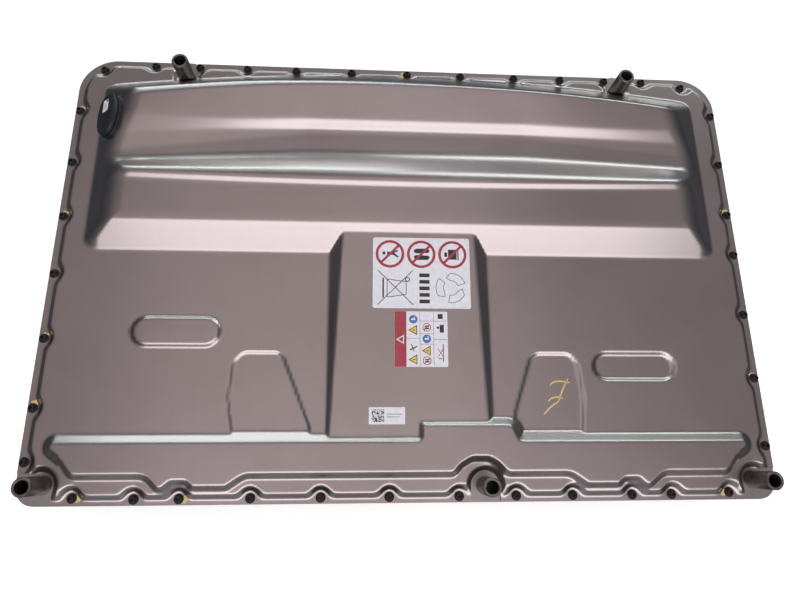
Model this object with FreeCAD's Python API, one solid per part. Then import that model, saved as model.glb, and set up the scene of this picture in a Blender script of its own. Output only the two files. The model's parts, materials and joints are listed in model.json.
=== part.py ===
"""Traction battery pack of a plug-in car: tray, stamped cover, vent, and the prismatic cells inside.

Frame: millimetres, +Z up, +X to the right, +Y to the rear. The origin is the centre of the
outline, on the floor that the tray stands on. Distances along Y are named as distances behind the
front row of cover screws, and back() turns them into the part's own Y.
"""
import FreeCAD
import Part
import math
import os

V = FreeCAD.Vector
UP = V(0, 0, 1)

# ---- driving dimensions -------------------------------------------------------------------
SCREW_COLUMN_X = 500.0          # side screw columns, each side of the middle
FRONT_ROW_Y = -325.0            # the front screw row in the part's frame
REAR_ROW = 647.0                # the rear screw row, behind the front one
COVER_HALF = 507.0              # half width of the cover
COVER_FRONT = -7.0
COVER_REAR = 655.0
REAR_CORNER_R = 55.0
FRONT_CORNER_R = 12.0
TRAY_LIP = 1.0                  # how far the tray's flange stands out past the cover

TRAY_TOP = 118.0                # upper face of the tray's flange
SEAL = 1.8
SHEET = 1.2
FLANGE = TRAY_TOP + SEAL + SHEET   # upper face of the cover's flange

PLATEAU = FLANGE + 8.0
PANEL = FLANGE + 18.0
TERRACE = FLANGE + 36.0
RIDGE = FLANGE + 41.0
VALLEY = FLANGE + 22.5
CREST = FLANGE + 48.0
TUNNEL_REAR = FLANGE + 26.0
TUNNEL_FRONT = FLANGE + 12.0
SLEEVE_TOP = FLANGE + 45.5

TUB_HALF = 482.0
TUB_FRONT = 33.0
TUB_REAR = 611.0
TUB_WALL = 3.0
TUB_FLOOR = 4.0
TUB_CORNER_R = 24.0
FLANGE_PLATE = 4.0
BOSS_BOTTOM = 96.0

SLEEVE_R = 12.0
NOTCH = {"front_left": 15.0, "front_right": 15.0, "front_centre": 20.0, "rear_left": 14.0,
         "rear_right": 14.0}    # half width of the cover's notch at each sleeve
SLEEVE_BORE_R = 8.25
SLEEVE_BOTTOM = 88.0

SCREW_SHANK_R = 2.95
TAPPED_R = 3.0
SCREW_HOLE_R = 3.4
SCREW_HEAD_R = 6.5
SCREW_HEAD_TOP = FLANGE + 6.0
SCREW_LENGTH = 20.0

# Places of the screws and sleeves: X, and distance behind the front screw row.
FRONT_SCREWS = [(x, 0) for x in (-357, -300, -209, -118, -28, 65, 142, 219, 301, 356)]
FRONT_SCREWS += [(-434, 2), (437, 2)]
REAR_SCREWS = [(x, REAR_ROW) for x in (-395, -327, -253, -176, -88, 1, 88, 176, 253, 327, 390)]
REAR_SCREWS += [(-472, 637), (456, 639)]
LEFT_SCREWS = [(-SCREW_COLUMN_X, d) for d in (47, 116, 210, 303, 390, 477, 564)]
RIGHT_SCREWS = [(SCREW_COLUMN_X, d) for d in (63, 158, 252, 346, 412, 499, 587)]
SCREW_ROWS = {"front": FRONT_SCREWS, "rear": REAR_SCREWS, "left": LEFT_SCREWS, "right": RIGHT_SCREWS}
SLEEVES = {
    "front_left": (-474.5, 18.0),
    "front_right": (474.5, 18.0),
    "front_centre": (101.0, 13.0),
    "rear_left": (-344.0, 626.0),
    "rear_right": (344.0, 626.0),
}

# Vent on the hump's left end wall: half length and half width of its base and its cap.
VENT_BASE = (35.0, 23.0)
VENT_CAP = (33.0, 21.5)

# Hump across the rear half of the cover.
HUMP_HALF = 462.0
HUMP_FRONT = 333.0
HUMP_END_SLOPE = 0.71
HUMP_STATIONS = (-462, -424, -405, -350, -270, -180, -90, 0, 90, 180, 270, 350, 405, 424, 462)

# Cells and modules.
CELL = (148.0, 26.5, 91.0)      # width, thickness, height
CELLS_PER_MODULE = 12
MODULE = (151.0, 355.0, 108.0)  # width, length, height
MODULE_BOTTOM = 9.0
END_PLATE = 14.0
MODULE_PITCH = 152.0
FRONT_BANK = 49.0               # start of the front bank of six modules
REAR_BANK = 408.0               # start of the rear bank of two modules
MODULE_BOLTS = (62.0, 168.5)    # the four bolts of a module, each side of its centre
CELL_BOTTOM = MODULE_BOTTOM + 2.0
CELL_TOP = CELL_BOTTOM + CELL[2]
TERMINAL_TOP = CELL_TOP + 4.0

BOX_HALF = 98.0                 # junction box between the two rear modules
BOX_TOP = 138.0
BOX_FLOOR = 80.0
BOX_WALL = 2.5
BOX_FRONT = REAR_BANK + 2
BOX_REAR = REAR_BANK + 149
BOX_SPLIT = BOX_FLOOR + 18      # where the lid meets the base

CONTACTOR_X = 52.0
CONTACTOR_BACK = REAR_BANK + 48.0
CONTACTOR_TOP = BOX_FLOOR + 46
STUD = 11.0                     # the contactor's two studs, each side of its centre
STUD_TOP = CONTACTOR_TOP + 5
ARMATURE_TRAVEL = 2.0

COOLANT_X = (196.0, 260.0)
COOLANT_Z = 26.0
COOLANT_R = 9.0

HV_X = 0.0                      # high-voltage connector, on the front wall
HV_Z = 61.0
HV_PIN = 14.0                   # its two pins, each side of its centre
LV_X = -80.0                    # signal connector beside it


def back(distance):
    """Y of a point that lies this far behind the front screw row."""
    return FRONT_ROW_Y + distance


def box(x0, x1, y0, y1, z0, z1):
    return Part.makeBox(x1 - x0, y1 - y0, z1 - z0, V(x0, y0, z0))


def cylinder(x, y, z0, z1, radius):
    return Part.makeCylinder(radius, z1 - z0, V(x, y, z0))


def cone(x, y, z0, z1, r0, r1):
    return Part.makeCone(r0, r1, z1 - z0, V(x, y, z0))


def polygon(points, z):
    loop = [V(x, y, z) for x, y in points]
    return Part.makePolygon(loop + [loop[0]])


def plate(points, z0, z1):
    return Part.Face(polygon(points, z0)).extrude(V(0, 0, z1 - z0))


def inset(points, distance):
    """The outline moved inward by a distance, corner by corner. Outlines run anticlockwise."""
    moved = []
    count = len(points)
    for i, (x, y) in enumerate(points):
        before = points[i - 1]
        after = points[(i + 1) % count]
        u = V(x - before[0], y - before[1], 0).normalize()
        w = V(after[0] - x, after[1] - y, 0).normalize()
        n_u = V(-u.y, u.x, 0)
        n_w = V(-w.y, w.x, 0)
        bisector = (n_u + n_w).normalize()
        reach = distance / bisector.dot(n_u)
        moved.append((x + bisector.x * reach, y + bisector.y * reach))
    return moved


def frustum(points, z0, z1, run):
    """A block on an outline whose walls lean inward by run between z0 and z1."""
    return Part.makeLoft([polygon(points, z0), polygon(inset(points, run), z1)], True, True)


def round_corner(cx, cy, radius, start, steps=6):
    """Points on a quarter circle about (cx, cy), anticlockwise from the start angle."""
    angles = [math.radians(start + 90.0 * i / steps) for i in range(steps + 1)]
    return [(cx + radius * math.cos(a), cy + radius * math.sin(a)) for a in angles]


def rounded_outline(x0, x1, y0, y1, r_front, r_rear):
    """Anticlockwise rectangle with its own corner radii at the front and the rear."""
    outline = round_corner(x1 - r_rear, y1 - r_rear, r_rear, 0)
    outline += round_corner(x0 + r_rear, y1 - r_rear, r_rear, 90)
    outline += round_corner(x0 + r_front, y0 + r_front, r_front, 180)
    outline += round_corner(x1 - r_front, y0 + r_front, r_front, 270)
    return outline


def obround(x0, x1, y0, y1, steps=8):
    """A stadium outline, long along X."""
    radius = (y1 - y0) / 2
    middle = (y0 + y1) / 2
    right = [math.radians(-90 + 180.0 * i / steps) for i in range(steps + 1)]
    left = [math.radians(90 + 180.0 * i / steps) for i in range(steps + 1)]
    outline = [(x1 - radius + radius * math.cos(a), middle + radius * math.sin(a)) for a in right]
    outline += [(x0 + radius + radius * math.cos(a), middle + radius * math.sin(a)) for a in left]
    return outline


def fuse(shapes):
    return shapes[0].multiFuse(shapes[1:]).removeSplitter()


def save(name, shape):
    shape.exportStep("parts/" + name + ".step")


# ---- cover --------------------------------------------------------------------------------
def cover_outline(margin=0.0):
    return rounded_outline(
        -COVER_HALF - margin, COVER_HALF + margin, back(COVER_FRONT - margin), back(COVER_REAR + margin),
        FRONT_CORNER_R, REAR_CORNER_R)


def pan_outline():
    """Where the cover's step rises from its flat flange."""
    inner = 496.0
    return rounded_outline(-inner, inner, back(2), back(650), 16, 46)


def all_screws():
    return FRONT_SCREWS + REAR_SCREWS + LEFT_SCREWS + RIGHT_SCREWS


def scallops():
    """Conical cuts that bring the step in round each screw and each sleeve."""
    cuts = [cone(x, back(d), FLANGE, PLATEAU + 1, 12, 17) for x, d in all_screws()]
    for name, (x, d) in SLEEVES.items():
        radius = NOTCH[name] + 2
        cuts.append(cone(x, back(d), FLANGE, PLATEAU + 1, radius, radius + 6))
    return cuts


def hump_section(x):
    """Outline across the hump at one station, running from its front foot to its rear foot."""
    end_height = PLATEAU + (HUMP_HALF - abs(x)) * HUMP_END_SLOPE
    out = min(max((abs(x) - 150) / 230.0, 0), 1)
    crest_at = 597 - 23 * (x / 400.0) ** 2
    foot_at = 641 - 25 * (x / 400.0) ** 2
    shape = [(HUMP_FRONT, PLATEAU), (377, TERRACE), (432, TERRACE + 1), (440, RIDGE), (446, RIDGE)]
    shape += [(495 - 21 * out, VALLEY + 9 * out), (527 - 40 * out, VALLEY + 9 * out)]
    shape += [(543 - 6 * out, VALLEY + 10 + 8 * out), (crest_at, CREST - 7 * out), (foot_at, PLATEAU)]
    top = [V(x, back(d), min(z, end_height)) for d, z in shape]
    below = FLANGE - SHEET
    loop = [V(x, back(HUMP_FRONT), below)] + top + [V(x, back(foot_at), below)]
    return Part.makePolygon(loop + [loop[0]])


def hump():
    return Part.makeLoft([hump_section(float(x)) for x in HUMP_STATIONS], True, True)


def tunnel():
    """The wedge that runs forward from the hump and carries the labels."""
    front, rear = back(60), back(372)

    def section(y, top, half_foot, half_top):
        corners = [(-half_foot, PLATEAU - 2), (half_foot, PLATEAU - 2), (half_top, top), (-half_top, top)]
        loop = [V(x, y, z) for x, z in corners]
        return Part.makePolygon(loop + [loop[0]])

    slope = (TUNNEL_REAR - TUNNEL_FRONT) / (360.0 - 75.0)
    low = TUNNEL_FRONT + slope * (60 - 75)
    high = TUNNEL_FRONT + slope * (372 - 75)
    return Part.makeLoft([section(front, low, 112, 109.5), section(rear, high, 118, 97)], True, True)


def front_panel():
    """The raised panel along the front edge; its rear side jogs round the middle sleeve."""
    outline = [(-474, 80), (-474, 60), (-442, 24), (-345, 24), (-326, 11), (-246, 11), (-226, 24)]
    outline += [(64, 24), (76, 38), (101, 46), (126, 38), (134, 24), (207, 24), (232, 11)]
    outline += [(336, 11), (350, 24), (442, 24), (474, 60), (474, 80), (152, 80), (146, 98)]
    outline += [(12, 98), (12, 80)]
    placed = [(x, back(d)) for x, d in outline]
    return frustum(placed, PLATEAU - 1, PANEL, 9)


def left_pad():
    return frustum(obround(-381, -261, back(198), back(240)), PLATEAU - 0.5, PLATEAU + 5, 5)


def recess(points, depth, run):
    """A shallow pocket, as the solid that it takes away from the plateau."""
    floor = inset(points, run)
    return Part.makeLoft([polygon(floor, PLATEAU - depth), polygon(points, PLATEAU + 0.01)], True, True)


def recesses():
    right_pad = recess(obround(261, 380, back(154), back(193)), 5, 6)
    left_hand = [(-233, 80), (-128, 80), (-174, 184), (-182, 190), (-230, 190), (-240, 180), (-245, 130)]
    right_hand = [(140, 95), (236, 80), (243, 130), (239, 180), (229, 190), (180, 190), (171, 184)]
    pockets = [[(x, back(d)) for x, d in shape] for shape in (left_hand, right_hand)]
    return [right_pad] + [recess(pocket, 3.5, 2.5) for pocket in pockets]


def sleeve_clearance(z0, z1, margin=0.0):
    """Where the cover and the seal are cut away to the edge round each mounting sleeve."""
    cuts = []
    for name, (x, d) in SLEEVES.items():
        y = back(d)
        gap = margin + NOTCH[name]
        cuts.append(cylinder(x, y, z0, z1, gap))
        if name.startswith("rear"):
            cuts.append(box(x - gap, x + gap, y, y + 60, z0, z1))
            continue
        cuts.append(box(x - gap, x + gap, y - 60, y, z0, z1))
        if name == "front_left":
            cuts.append(box(x - 60, x, y - 60, y + gap, z0, z1))
        if name == "front_right":
            cuts.append(box(x, x + 60, y - 60, y + gap, z0, z1))
    return cuts


def vent_placement():
    """The vent's own frame: its base lies on the hump's left end wall, its axis square to it."""
    lean = -math.degrees(math.atan(HUMP_END_SLOPE))
    x = -441.0
    foot = PLATEAU + (HUMP_HALF + x) * HUMP_END_SLOPE
    return FreeCAD.Placement(V(x, back(541), foot), FreeCAD.Rotation(V(0, 1, 0), lean))


def vent_hole():
    hole = Part.makeCylinder(12.5, 20, V(0, 0, -10))
    hole.Placement = vent_placement()
    return hole


def cover_skin():
    """The solid under the cover's upper surface, from just under the flange."""
    slab = plate(pan_outline(), FLANGE - SHEET, FLANGE)
    pan = frustum(pan_outline(), FLANGE, PLATEAU, 5)
    low = fuse([pan, tunnel(), front_panel(), left_pad()])
    low = low.cut(scallops() + recesses())
    return fuse([slab, low, hump()])


def top_cover():
    skin = cover_skin()
    under = skin.copy()
    under.translate(V(0, 0, -SHEET))
    sheet = plate(cover_outline(), FLANGE - SHEET, FLANGE).fuse(skin).cut(under)
    holes = [cylinder(x, back(d), FLANGE - 5, FLANGE + 5, SCREW_HOLE_R) for x, d in all_screws()]
    holes += sleeve_clearance(FLANGE - 5, PLATEAU + 20)
    holes.append(vent_hole())
    sheet = sheet.cut(holes)
    return max(sheet.Solids, key=lambda solid: solid.Volume)


def cover_seal():
    """Flat gasket under the cover's flange."""
    ring = plate(cover_outline(-1.0), TRAY_TOP, TRAY_TOP + SEAL)
    inside = plate(inset(pan_outline(), 3), TRAY_TOP - 1, TRAY_TOP + 5)
    around = [cylinder(x, back(d), TRAY_TOP - 2, TRAY_TOP + 6, 8) for x, d in all_screws()]
    around += sleeve_clearance(TRAY_TOP - 2, TRAY_TOP + 6, margin=6.0)
    inside = inside.cut(around)
    holes = [cylinder(x, back(d), TRAY_TOP - 2, TRAY_TOP + 6, SCREW_HOLE_R) for x, d in all_screws()]
    holes += sleeve_clearance(TRAY_TOP - 2, TRAY_TOP + 6)
    ring = ring.cut([inside] + holes)
    return max(ring.Solids, key=lambda solid: solid.Volume)


# ---- tray ---------------------------------------------------------------------------------
def tub():
    outline = rounded_outline(-TUB_HALF, TUB_HALF, back(TUB_FRONT), back(TUB_REAR), TUB_CORNER_R,
                              TUB_CORNER_R)
    outer = frustum(inset(outline, 4), 0, 6, -4).fuse(plate(outline, 6, TRAY_TOP))
    cavity = plate(inset(outline, TUB_WALL), TUB_FLOOR, TRAY_TOP + 1)
    return outer, cavity


def tray_ribs():
    """Upright fins between the tub's walls and the underside of the flange."""
    thick = 2.5
    ribs = []
    for i in range(9):
        x = -420.0 + 105 * i
        for y0, y1 in ((back(-2), back(TUB_FRONT)), (back(TUB_REAR), back(650))):
            at_front = y0 < back(0)
            if at_front and abs(x - HV_X) < 50:
                continue
            outer_y, wall_y = (y0, y1) if at_front else (y1, y0)
            ribs.append(fin_along_y(x, outer_y, wall_y, thick))
    for i in range(6):
        y = back(80 + 96 * i)
        for side in (-1, 1):
            ribs.append(fin_along_x(y, side * 504, side * TUB_HALF, thick))
    return ribs


def fin_along_y(x, outer_y, wall_y, thick):
    top = TRAY_TOP - FLANGE_PLATE
    loop = [V(x, wall_y, 40), V(x, wall_y, top), V(x, outer_y, top), V(x, outer_y, top - 8)]
    return Part.Face(Part.makePolygon(loop + [loop[0]])).extrude(V(thick, 0, 0))


def fin_along_x(y, outer_x, wall_x, thick):
    top = TRAY_TOP - FLANGE_PLATE
    loop = [V(wall_x, y, 50), V(wall_x, y, top), V(outer_x, y, top), V(outer_x, y, top - 8)]
    return Part.Face(Part.makePolygon(loop + [loop[0]])).extrude(V(0, thick, 0))


def flange_plate():
    outline = rounded_outline(
        -COVER_HALF - TRAY_LIP, COVER_HALF + TRAY_LIP, back(COVER_FRONT - TRAY_LIP),
        back(COVER_REAR + TRAY_LIP), 26, REAR_CORNER_R)
    ears = []
    for name in ("rear_left", "rear_right"):
        x, d = SLEEVES[name]
        ears.append(cylinder(x, back(d), TRAY_TOP - FLANGE_PLATE, TRAY_TOP, 32))
    return fuse([plate(outline, TRAY_TOP - FLANGE_PLATE, TRAY_TOP)] + ears)


def wall_ports():
    """Holes through the front wall for the connectors and the coolant pipes."""
    wall = back(TUB_FRONT)
    ports = [box(HV_X - 28, HV_X + 28, wall - 5, wall + 8, HV_Z - 17, HV_Z + 17)]
    ports.append(box(LV_X - 14, LV_X + 14, wall - 5, wall + 8, HV_Z - 9, HV_Z + 9))
    for x in COOLANT_X:
        ports.append(Part.makeCylinder(COOLANT_R, 13, V(x, wall - 5, COOLANT_Z), V(0, 1, 0)))
    return ports


def module_bolt_places():
    """Where every module's four bolts stand."""
    across, along = MODULE_BOLTS
    places = []
    for x, y, turn in module_places():
        for a in (-across, across):
            for b in (-along, along):
                dx, dy = (a, b) if turn == 0 else (b, a)
                places.append((x + dx, y + dy))
    return places


def tray():
    outer, cavity = tub()
    bosses = [cylinder(x, back(d), BOSS_BOTTOM, TRAY_TOP - 1, 7.5) for x, d in all_screws()]
    bosses += [cylinder(x, back(d), SLEEVE_BOTTOM, TRAY_TOP - 1, 18) for x, d in SLEEVES.values()]
    shell = fuse([outer, flange_plate()] + bosses + tray_ribs()).cut([cavity] + wall_ports())
    pads = [cylinder(x, y, TUB_FLOOR - 1, MODULE_BOTTOM, 8) for x, y in module_bolt_places()]
    body = shell.multiFuse(pads)
    cuts = [cylinder(x, y, 1.5, MODULE_BOTTOM + 1, TAPPED_R) for x, y in module_bolt_places()]
    cuts += [cylinder(x, back(d), BOSS_BOTTOM + 2, TRAY_TOP + 1, TAPPED_R) for x, d in all_screws()]
    cuts += [cylinder(x, back(d), SLEEVE_BOTTOM - 1, TRAY_TOP + 1, SLEEVE_R) for x, d in SLEEVES.values()]
    return body.cut(cuts)


def mounting_sleeve(place):
    x, d = place
    tube = cylinder(x, back(d), SLEEVE_BOTTOM, SLEEVE_TOP, SLEEVE_R)
    bore = cylinder(x, back(d), SLEEVE_BOTTOM - 1, SLEEVE_TOP + 1, SLEEVE_BORE_R)
    rim = [edge for edge in tube.Edges if abs(edge.CenterOfMass.z - SLEEVE_TOP) < 0.01]
    return tube.makeChamfer(1.0, rim).cut(bore)


# ---- screws -------------------------------------------------------------------------------
def hexagon(x, y, across_flats, z0, z1):
    radius = across_flats / math.sqrt(3)
    points = [(x + radius * math.cos(math.radians(60 * i)), y + radius * math.sin(math.radians(60 * i)))
              for i in range(6)]
    return plate(points, z0, z1)


def flange_screw(x, y):
    """Hexagon flange screw with a socket in its head."""
    washer = cone(x, y, FLANGE, FLANGE + 2.0, SCREW_HEAD_R, SCREW_HEAD_R - 1.2)
    head = hexagon(x, y, 8.0, FLANGE + 1.0, SCREW_HEAD_TOP)
    shank = cylinder(x, y, FLANGE - SCREW_LENGTH, FLANGE + 1, SCREW_SHANK_R)
    socket = cylinder(x, y, SCREW_HEAD_TOP - 2.5, SCREW_HEAD_TOP + 1, 2.3)
    return fuse([washer, head, shank]).cut(socket)


def screw_row(places):
    return Part.makeCompound([flange_screw(x, back(d)) for x, d in places])


# ---- vent ---------------------------------------------------------------------------------
def ellipse_block(half_long, half_short, z0, z1):
    """Elliptical block in the vent's frame, long along Y."""
    curve = Part.Ellipse(V(0, 0, z0), half_long, half_short)
    block = Part.Face(Part.Wire([curve.toShape()])).extrude(V(0, 0, z1 - z0))
    block.rotate(V(0, 0, 0), UP, 90)
    return block


def vent_housing():
    """Base plate, with the neck that passes through the cover."""
    base = ellipse_block(*VENT_BASE, 0, 4)
    neck = Part.makeCylinder(12, 9, V(0, 0, -8))
    nuts = [Part.makeCylinder(4, 3, V(0, y, 3)) for y in (-27, 27)]
    passage = Part.makeCylinder(9.5, 14, V(0, 0, -9))
    body = fuse([base, neck] + nuts).cut(passage)
    body.Placement = vent_placement()
    return body


def vent_membrane():
    """Gas-permeable disc clamped over the neck."""
    disc = Part.makeCylinder(10.5, 0.6, V(0, 0, 4))
    disc.Placement = vent_placement()
    return disc


def vent_cap():
    """Splash cap with slots round its skirt."""
    outer = ellipse_block(*VENT_CAP, 4, 11)
    top = [edge for edge in outer.Edges if edge.CenterOfMass.z > 10.9]
    outer = outer.makeChamfer(1.5, top)
    hollow = Part.makeCylinder(14, 4, V(0, 0, 3.5))
    pockets = [Part.makeCylinder(4, 3, V(0, y, 3)) for y in (-27, 27)]
    slots = [box(-30, 30, y - 1.5, y + 1.5, 4, 6.5) for y in (-9, 0, 9)]
    cap = outer.cut([hollow] + pockets + slots)
    cap.Placement = vent_placement()
    return cap


# ---- labels -------------------------------------------------------------------------------
def label(x0, x1, d0, d1):
    """A thin label lying on the sloping top of the tunnel."""
    slope = (TUNNEL_REAR - TUNNEL_FRONT) / (360.0 - 75.0)
    sheet = Part.makeBox(x1 - x0, d1 - d0, 0.25, V(x0, 0, 0))
    rise = FreeCAD.Rotation(V(1, 0, 0), math.degrees(math.atan(slope)))
    foot = TUNNEL_FRONT + slope * (d0 - 75)
    sheet.Placement = FreeCAD.Placement(V(0, back(d0), foot), rise)
    return sheet


# ---- cooling ------------------------------------------------------------------------------
def cold_plate(x0, x1, d0, d1, lanes):
    """Flat plate under the cells, with closed channels along X."""
    body = box(x0, x1, back(d0), back(d1), TUB_FLOOR, MODULE_BOTTOM)
    pitch = (d1 - d0) / lanes
    channels = [box(x0 + 8, x1 - 8, back(d0 + pitch * i + 5), back(d0 + pitch * (i + 1) - 5),
                    TUB_FLOOR + 1.2, MODULE_BOTTOM - 1.2) for i in range(lanes)]
    return body.cut(channels)


def cold_plate_front():
    cells_front = FRONT_BANK + 19
    cells_rear = FRONT_BANK + MODULE[1] - 19
    return cold_plate(-452, 452, cells_front, cells_rear, 8)


def cold_plate_rear():
    sides = [cold_plate(x0, x1, REAR_BANK + 2, REAR_BANK + 149, 4) for x0, x1 in ((-442, -124), (124, 442))]
    return Part.makeCompound(sides)


def coolant_spigots():
    """Two hose spigots with flanges on the outside of the front wall."""
    wall = back(TUB_FRONT)
    along = V(0, 1, 0)
    spigots = []
    for x in COOLANT_X:
        tube = Part.makeCylinder(COOLANT_R, 36 + TUB_WALL, V(x, wall - 36, COOLANT_Z), along)
        collar = Part.makeCylinder(15, 4, V(x, wall - 4, COOLANT_Z), along)
        bore = Part.makeCylinder(COOLANT_R - 2, 60, V(x, wall - 40, COOLANT_Z), along)
        spigots.append(tube.fuse(collar).cut(bore))
    return Part.makeCompound(spigots)


def coolant_manifold():
    """Two hollow blocks that take the coolant from the spigots down to the front cold plate."""
    front = back(TUB_FRONT) + TUB_WALL
    blocks = []
    for x in COOLANT_X:
        block = box(x - 15, x + 15, front, back(FRONT_BANK), TUB_FLOOR, COOLANT_Z + 16)
        foot = box(x - 15, x + 15, front, back(FRONT_BANK + 19), TUB_FLOOR, MODULE_BOTTOM)
        inside = box(x - 13, x + 13, front + 2, back(FRONT_BANK) - 2, MODULE_BOTTOM - 3.5, COOLANT_Z + 14)
        duct = box(x - 13, x + 13, front + 2, back(FRONT_BANK + 17), TUB_FLOOR + 1.2, MODULE_BOTTOM - 1.2)
        port = Part.makeCylinder(COOLANT_R - 2, 4, V(x, front - 1, COOLANT_Z), V(0, 1, 0))
        blocks.append(block.fuse(foot).cut([inside, duct, port]))
    return Part.makeCompound(blocks)


# ---- modules ------------------------------------------------------------------------------
def cell(y):
    """A prismatic cell on the module's centre line, with two terminals and a relief in its lid."""
    width, thick, height = CELL
    half_w = width / 2 - 0.4
    half_t = thick / 2 - 0.25
    can = box(-half_w, half_w, y - half_t, y + half_t, CELL_BOTTOM, CELL_TOP)
    uprights = [edge for edge in can.Edges if edge.BoundBox.ZLength > height - 1]
    can = can.makeFillet(3, uprights)
    terminals = [box(s * 52 - 11, s * 52 + 11, y - 9, y + 9, CELL_TOP - 1, TERMINAL_TOP) for s in (-1, 1)]
    relief = box(-12, 12, y - 5, y + 5, CELL_TOP - 0.8, CELL_TOP + 1)
    return can.cut(relief).multiFuse(terminals)


def cell_centre(i):
    return (i - (CELLS_PER_MODULE - 1) / 2) * CELL[1]


def module_cells():
    """Twelve cells side by side along the module's length."""
    return Part.makeCompound([cell(cell_centre(i)) for i in range(CELLS_PER_MODULE)])


def module_frame():
    """End plates, side plates and a floor that clamp one module's cells together."""
    half_w = MODULE[0] / 2
    half_l = MODULE[1] / 2
    cells_half = CELLS_PER_MODULE * CELL[1] / 2
    low, top = MODULE_BOTTOM, CELL_TOP - 6
    ends = []
    for y0, y1, out in ((cells_half + 0.5, half_l, 5), (-half_l, -cells_half - 0.5, -5)):
        block = box(-half_w, half_w, y0, y1, low, top)
        pockets = [box(x - 14, x + 14, y0 + out, y1 + out, low + 12, top - 12) for x in (-36, 0, 36)]
        holes = [cylinder(x, s * MODULE_BOLTS[1], low - 1, top + 1, 3.3)
                 for x in (-MODULE_BOLTS[0], MODULE_BOLTS[0]) for s in (-1, 1)]
        ends.append(block.cut(pockets + holes))
    sides = [box(x, x + 1.4, -cells_half - 6, cells_half + 6, low, top) for x in (-half_w, half_w - 1.4)]
    floor = box(-half_w, half_w, -cells_half - 6, cells_half + 6, low, CELL_BOTTOM)
    return fuse(ends + sides + [floor])


def strap(side, y0, y1):
    """A copper strap over the terminals on one side of a module."""
    x = side * 52
    return box(x - 9, x + 9, y0, y1, TERMINAL_TOP, TERMINAL_TOP + 1.5)


def module_busbars():
    """Straps that join the cells in series, and the module's two end tabs."""
    straps = []
    for side, first in ((1, 0), (-1, 1)):
        for i in range(first, CELLS_PER_MODULE - 1, 2):
            straps.append(strap(side, cell_centre(i) - 8, cell_centre(i + 1) + 8))
    last = cell_centre(CELLS_PER_MODULE - 1)
    straps.append(strap(-1, -last - 30, -last + 8))
    straps.append(strap(-1, last - 8, last + 30))
    return Part.makeCompound(straps)


def module_places():
    """Centre and turn of each module: six in the front bank, two across the rear."""
    middle = back(FRONT_BANK + MODULE[1] / 2)
    places = [((i - 2.5) * MODULE_PITCH, middle, 0) for i in range(6)]
    rear = back(REAR_BANK + MODULE[0] / 2)
    offset = BOX_HALF + 7 + MODULE[1] / 2
    return places + [(-offset, rear, 90), (offset, rear, 90)]


def put(shape, place):
    x, y, turn = place
    moved = shape.copy()
    moved.Placement = FreeCAD.Placement(V(x, y, 0), FreeCAD.Rotation(UP, turn))
    return moved


def module_bolts():
    """Long bolts that hold the modules' end plates down to the tray's floor."""
    top = CELL_TOP - 6
    bolts = []
    for x, y in module_bolt_places():
        shank = cylinder(x, y, 2.5, top + 1, SCREW_SHANK_R)
        head = hexagon(x, y, 10.0, top, top + 5)
        bolts.append(shank.fuse(head))
    return Part.makeCompound(bolts)


# ---- high-voltage conductors --------------------------------------------------------------
def module_link_bars():
    """Bars between the end tabs of neighbouring modules, front and rear by turns."""
    low, high = TERMINAL_TOP + 1.5, TERMINAL_TOP + 3.5
    middle = back(FRONT_BANK + MODULE[1] / 2)
    tab = cell_centre(CELLS_PER_MODULE - 1) + 23
    bars = []
    for i in range(5):
        x = (i - 2.5) * MODULE_PITCH - 52
        y = middle + (tab if i % 2 else -tab)
        bars.append(box(x - 8, x + MODULE_PITCH + 8, y - 6, y + 6, low, high))
    outer = BOX_HALF + 7 + MODULE[1] / 2 + tab
    rear_tab = back(REAR_BANK + MODULE[0] / 2 - 52)
    left, right = -2.5 * MODULE_PITCH - 52, 2.5 * MODULE_PITCH - 52
    for x0, x1, end in ((-outer - 8, left + 8, -outer), (right - 8, outer + 8, outer)):
        across = box(x0, x1, middle + tab - 6, middle + tab + 6, low, high)
        along = box(end - 8, end + 8, middle + tab - 6, rear_tab + 8, low, high)
        bars.append(across.fuse(along).removeSplitter())
    return bars


def contactor_feeds():
    """Bars from the rear modules' inner tabs up to the contactors' rear studs."""
    low = TERMINAL_TOP + 1.5
    y = back(REAR_BANK + MODULE[0] / 2 - 52)
    stud = back(CONTACTOR_BACK) + STUD
    bars = []
    for s in (-1, 1):
        inner, riser, outer = s * 44, s * 86, s * (BOX_HALF + 22)
        flat = box(min(riser, outer), max(riser, outer), y - 8, y + 8, low, low + 2)
        upright = box(min(s * 84, riser), max(s * 84, riser), y - 8, y + 8, low, STUD_TOP + 2)
        back_run = box(min(s * 80, riser), max(s * 80, riser), y - 8, stud + 7, STUD_TOP, STUD_TOP + 2)
        across = box(min(inner, riser), max(inner, riser), stud - 5, stud + 7, STUD_TOP, STUD_TOP + 2)
        bars.append(fuse([flat, upright, back_run, across]))
    return bars


def output_bars():
    """Bars from the contactors' front studs forward over the modules to the connector's pins."""
    run_z = TERMINAL_TOP + 9.5
    stud = back(CONTACTOR_BACK) - STUD
    rise_y = back(CONTACTOR_BACK - 34)
    drop_y = back(TUB_FRONT + TUB_WALL + 5)
    bars = []
    for s in (-1, 1):
        def bar(a, b, y0, y1, z0, z1):
            return box(min(s * a, s * b), max(s * a, s * b), y0, y1, z0, z1)
        top = bar(44, 60, rise_y, stud + 6, STUD_TOP, STUD_TOP + 2)
        riser = bar(44, 60, rise_y, rise_y + 2, run_z, STUD_TOP + 2)
        across = bar(HV_PIN - 6, 60, rise_y - 8, rise_y + 2, run_z, run_z + 2.5)
        forward = bar(HV_PIN - 6, HV_PIN + 6, drop_y, rise_y, run_z, run_z + 2.5)
        drop = bar(HV_PIN - 6, HV_PIN + 6, drop_y, drop_y + 2.5, HV_Z - 6, run_z + 2.5)
        bars.append(fuse([top, riser, across, forward, drop]))
    return bars


def hv_busbars():
    return Part.makeCompound(module_link_bars() + contactor_feeds() + output_bars())


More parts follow.
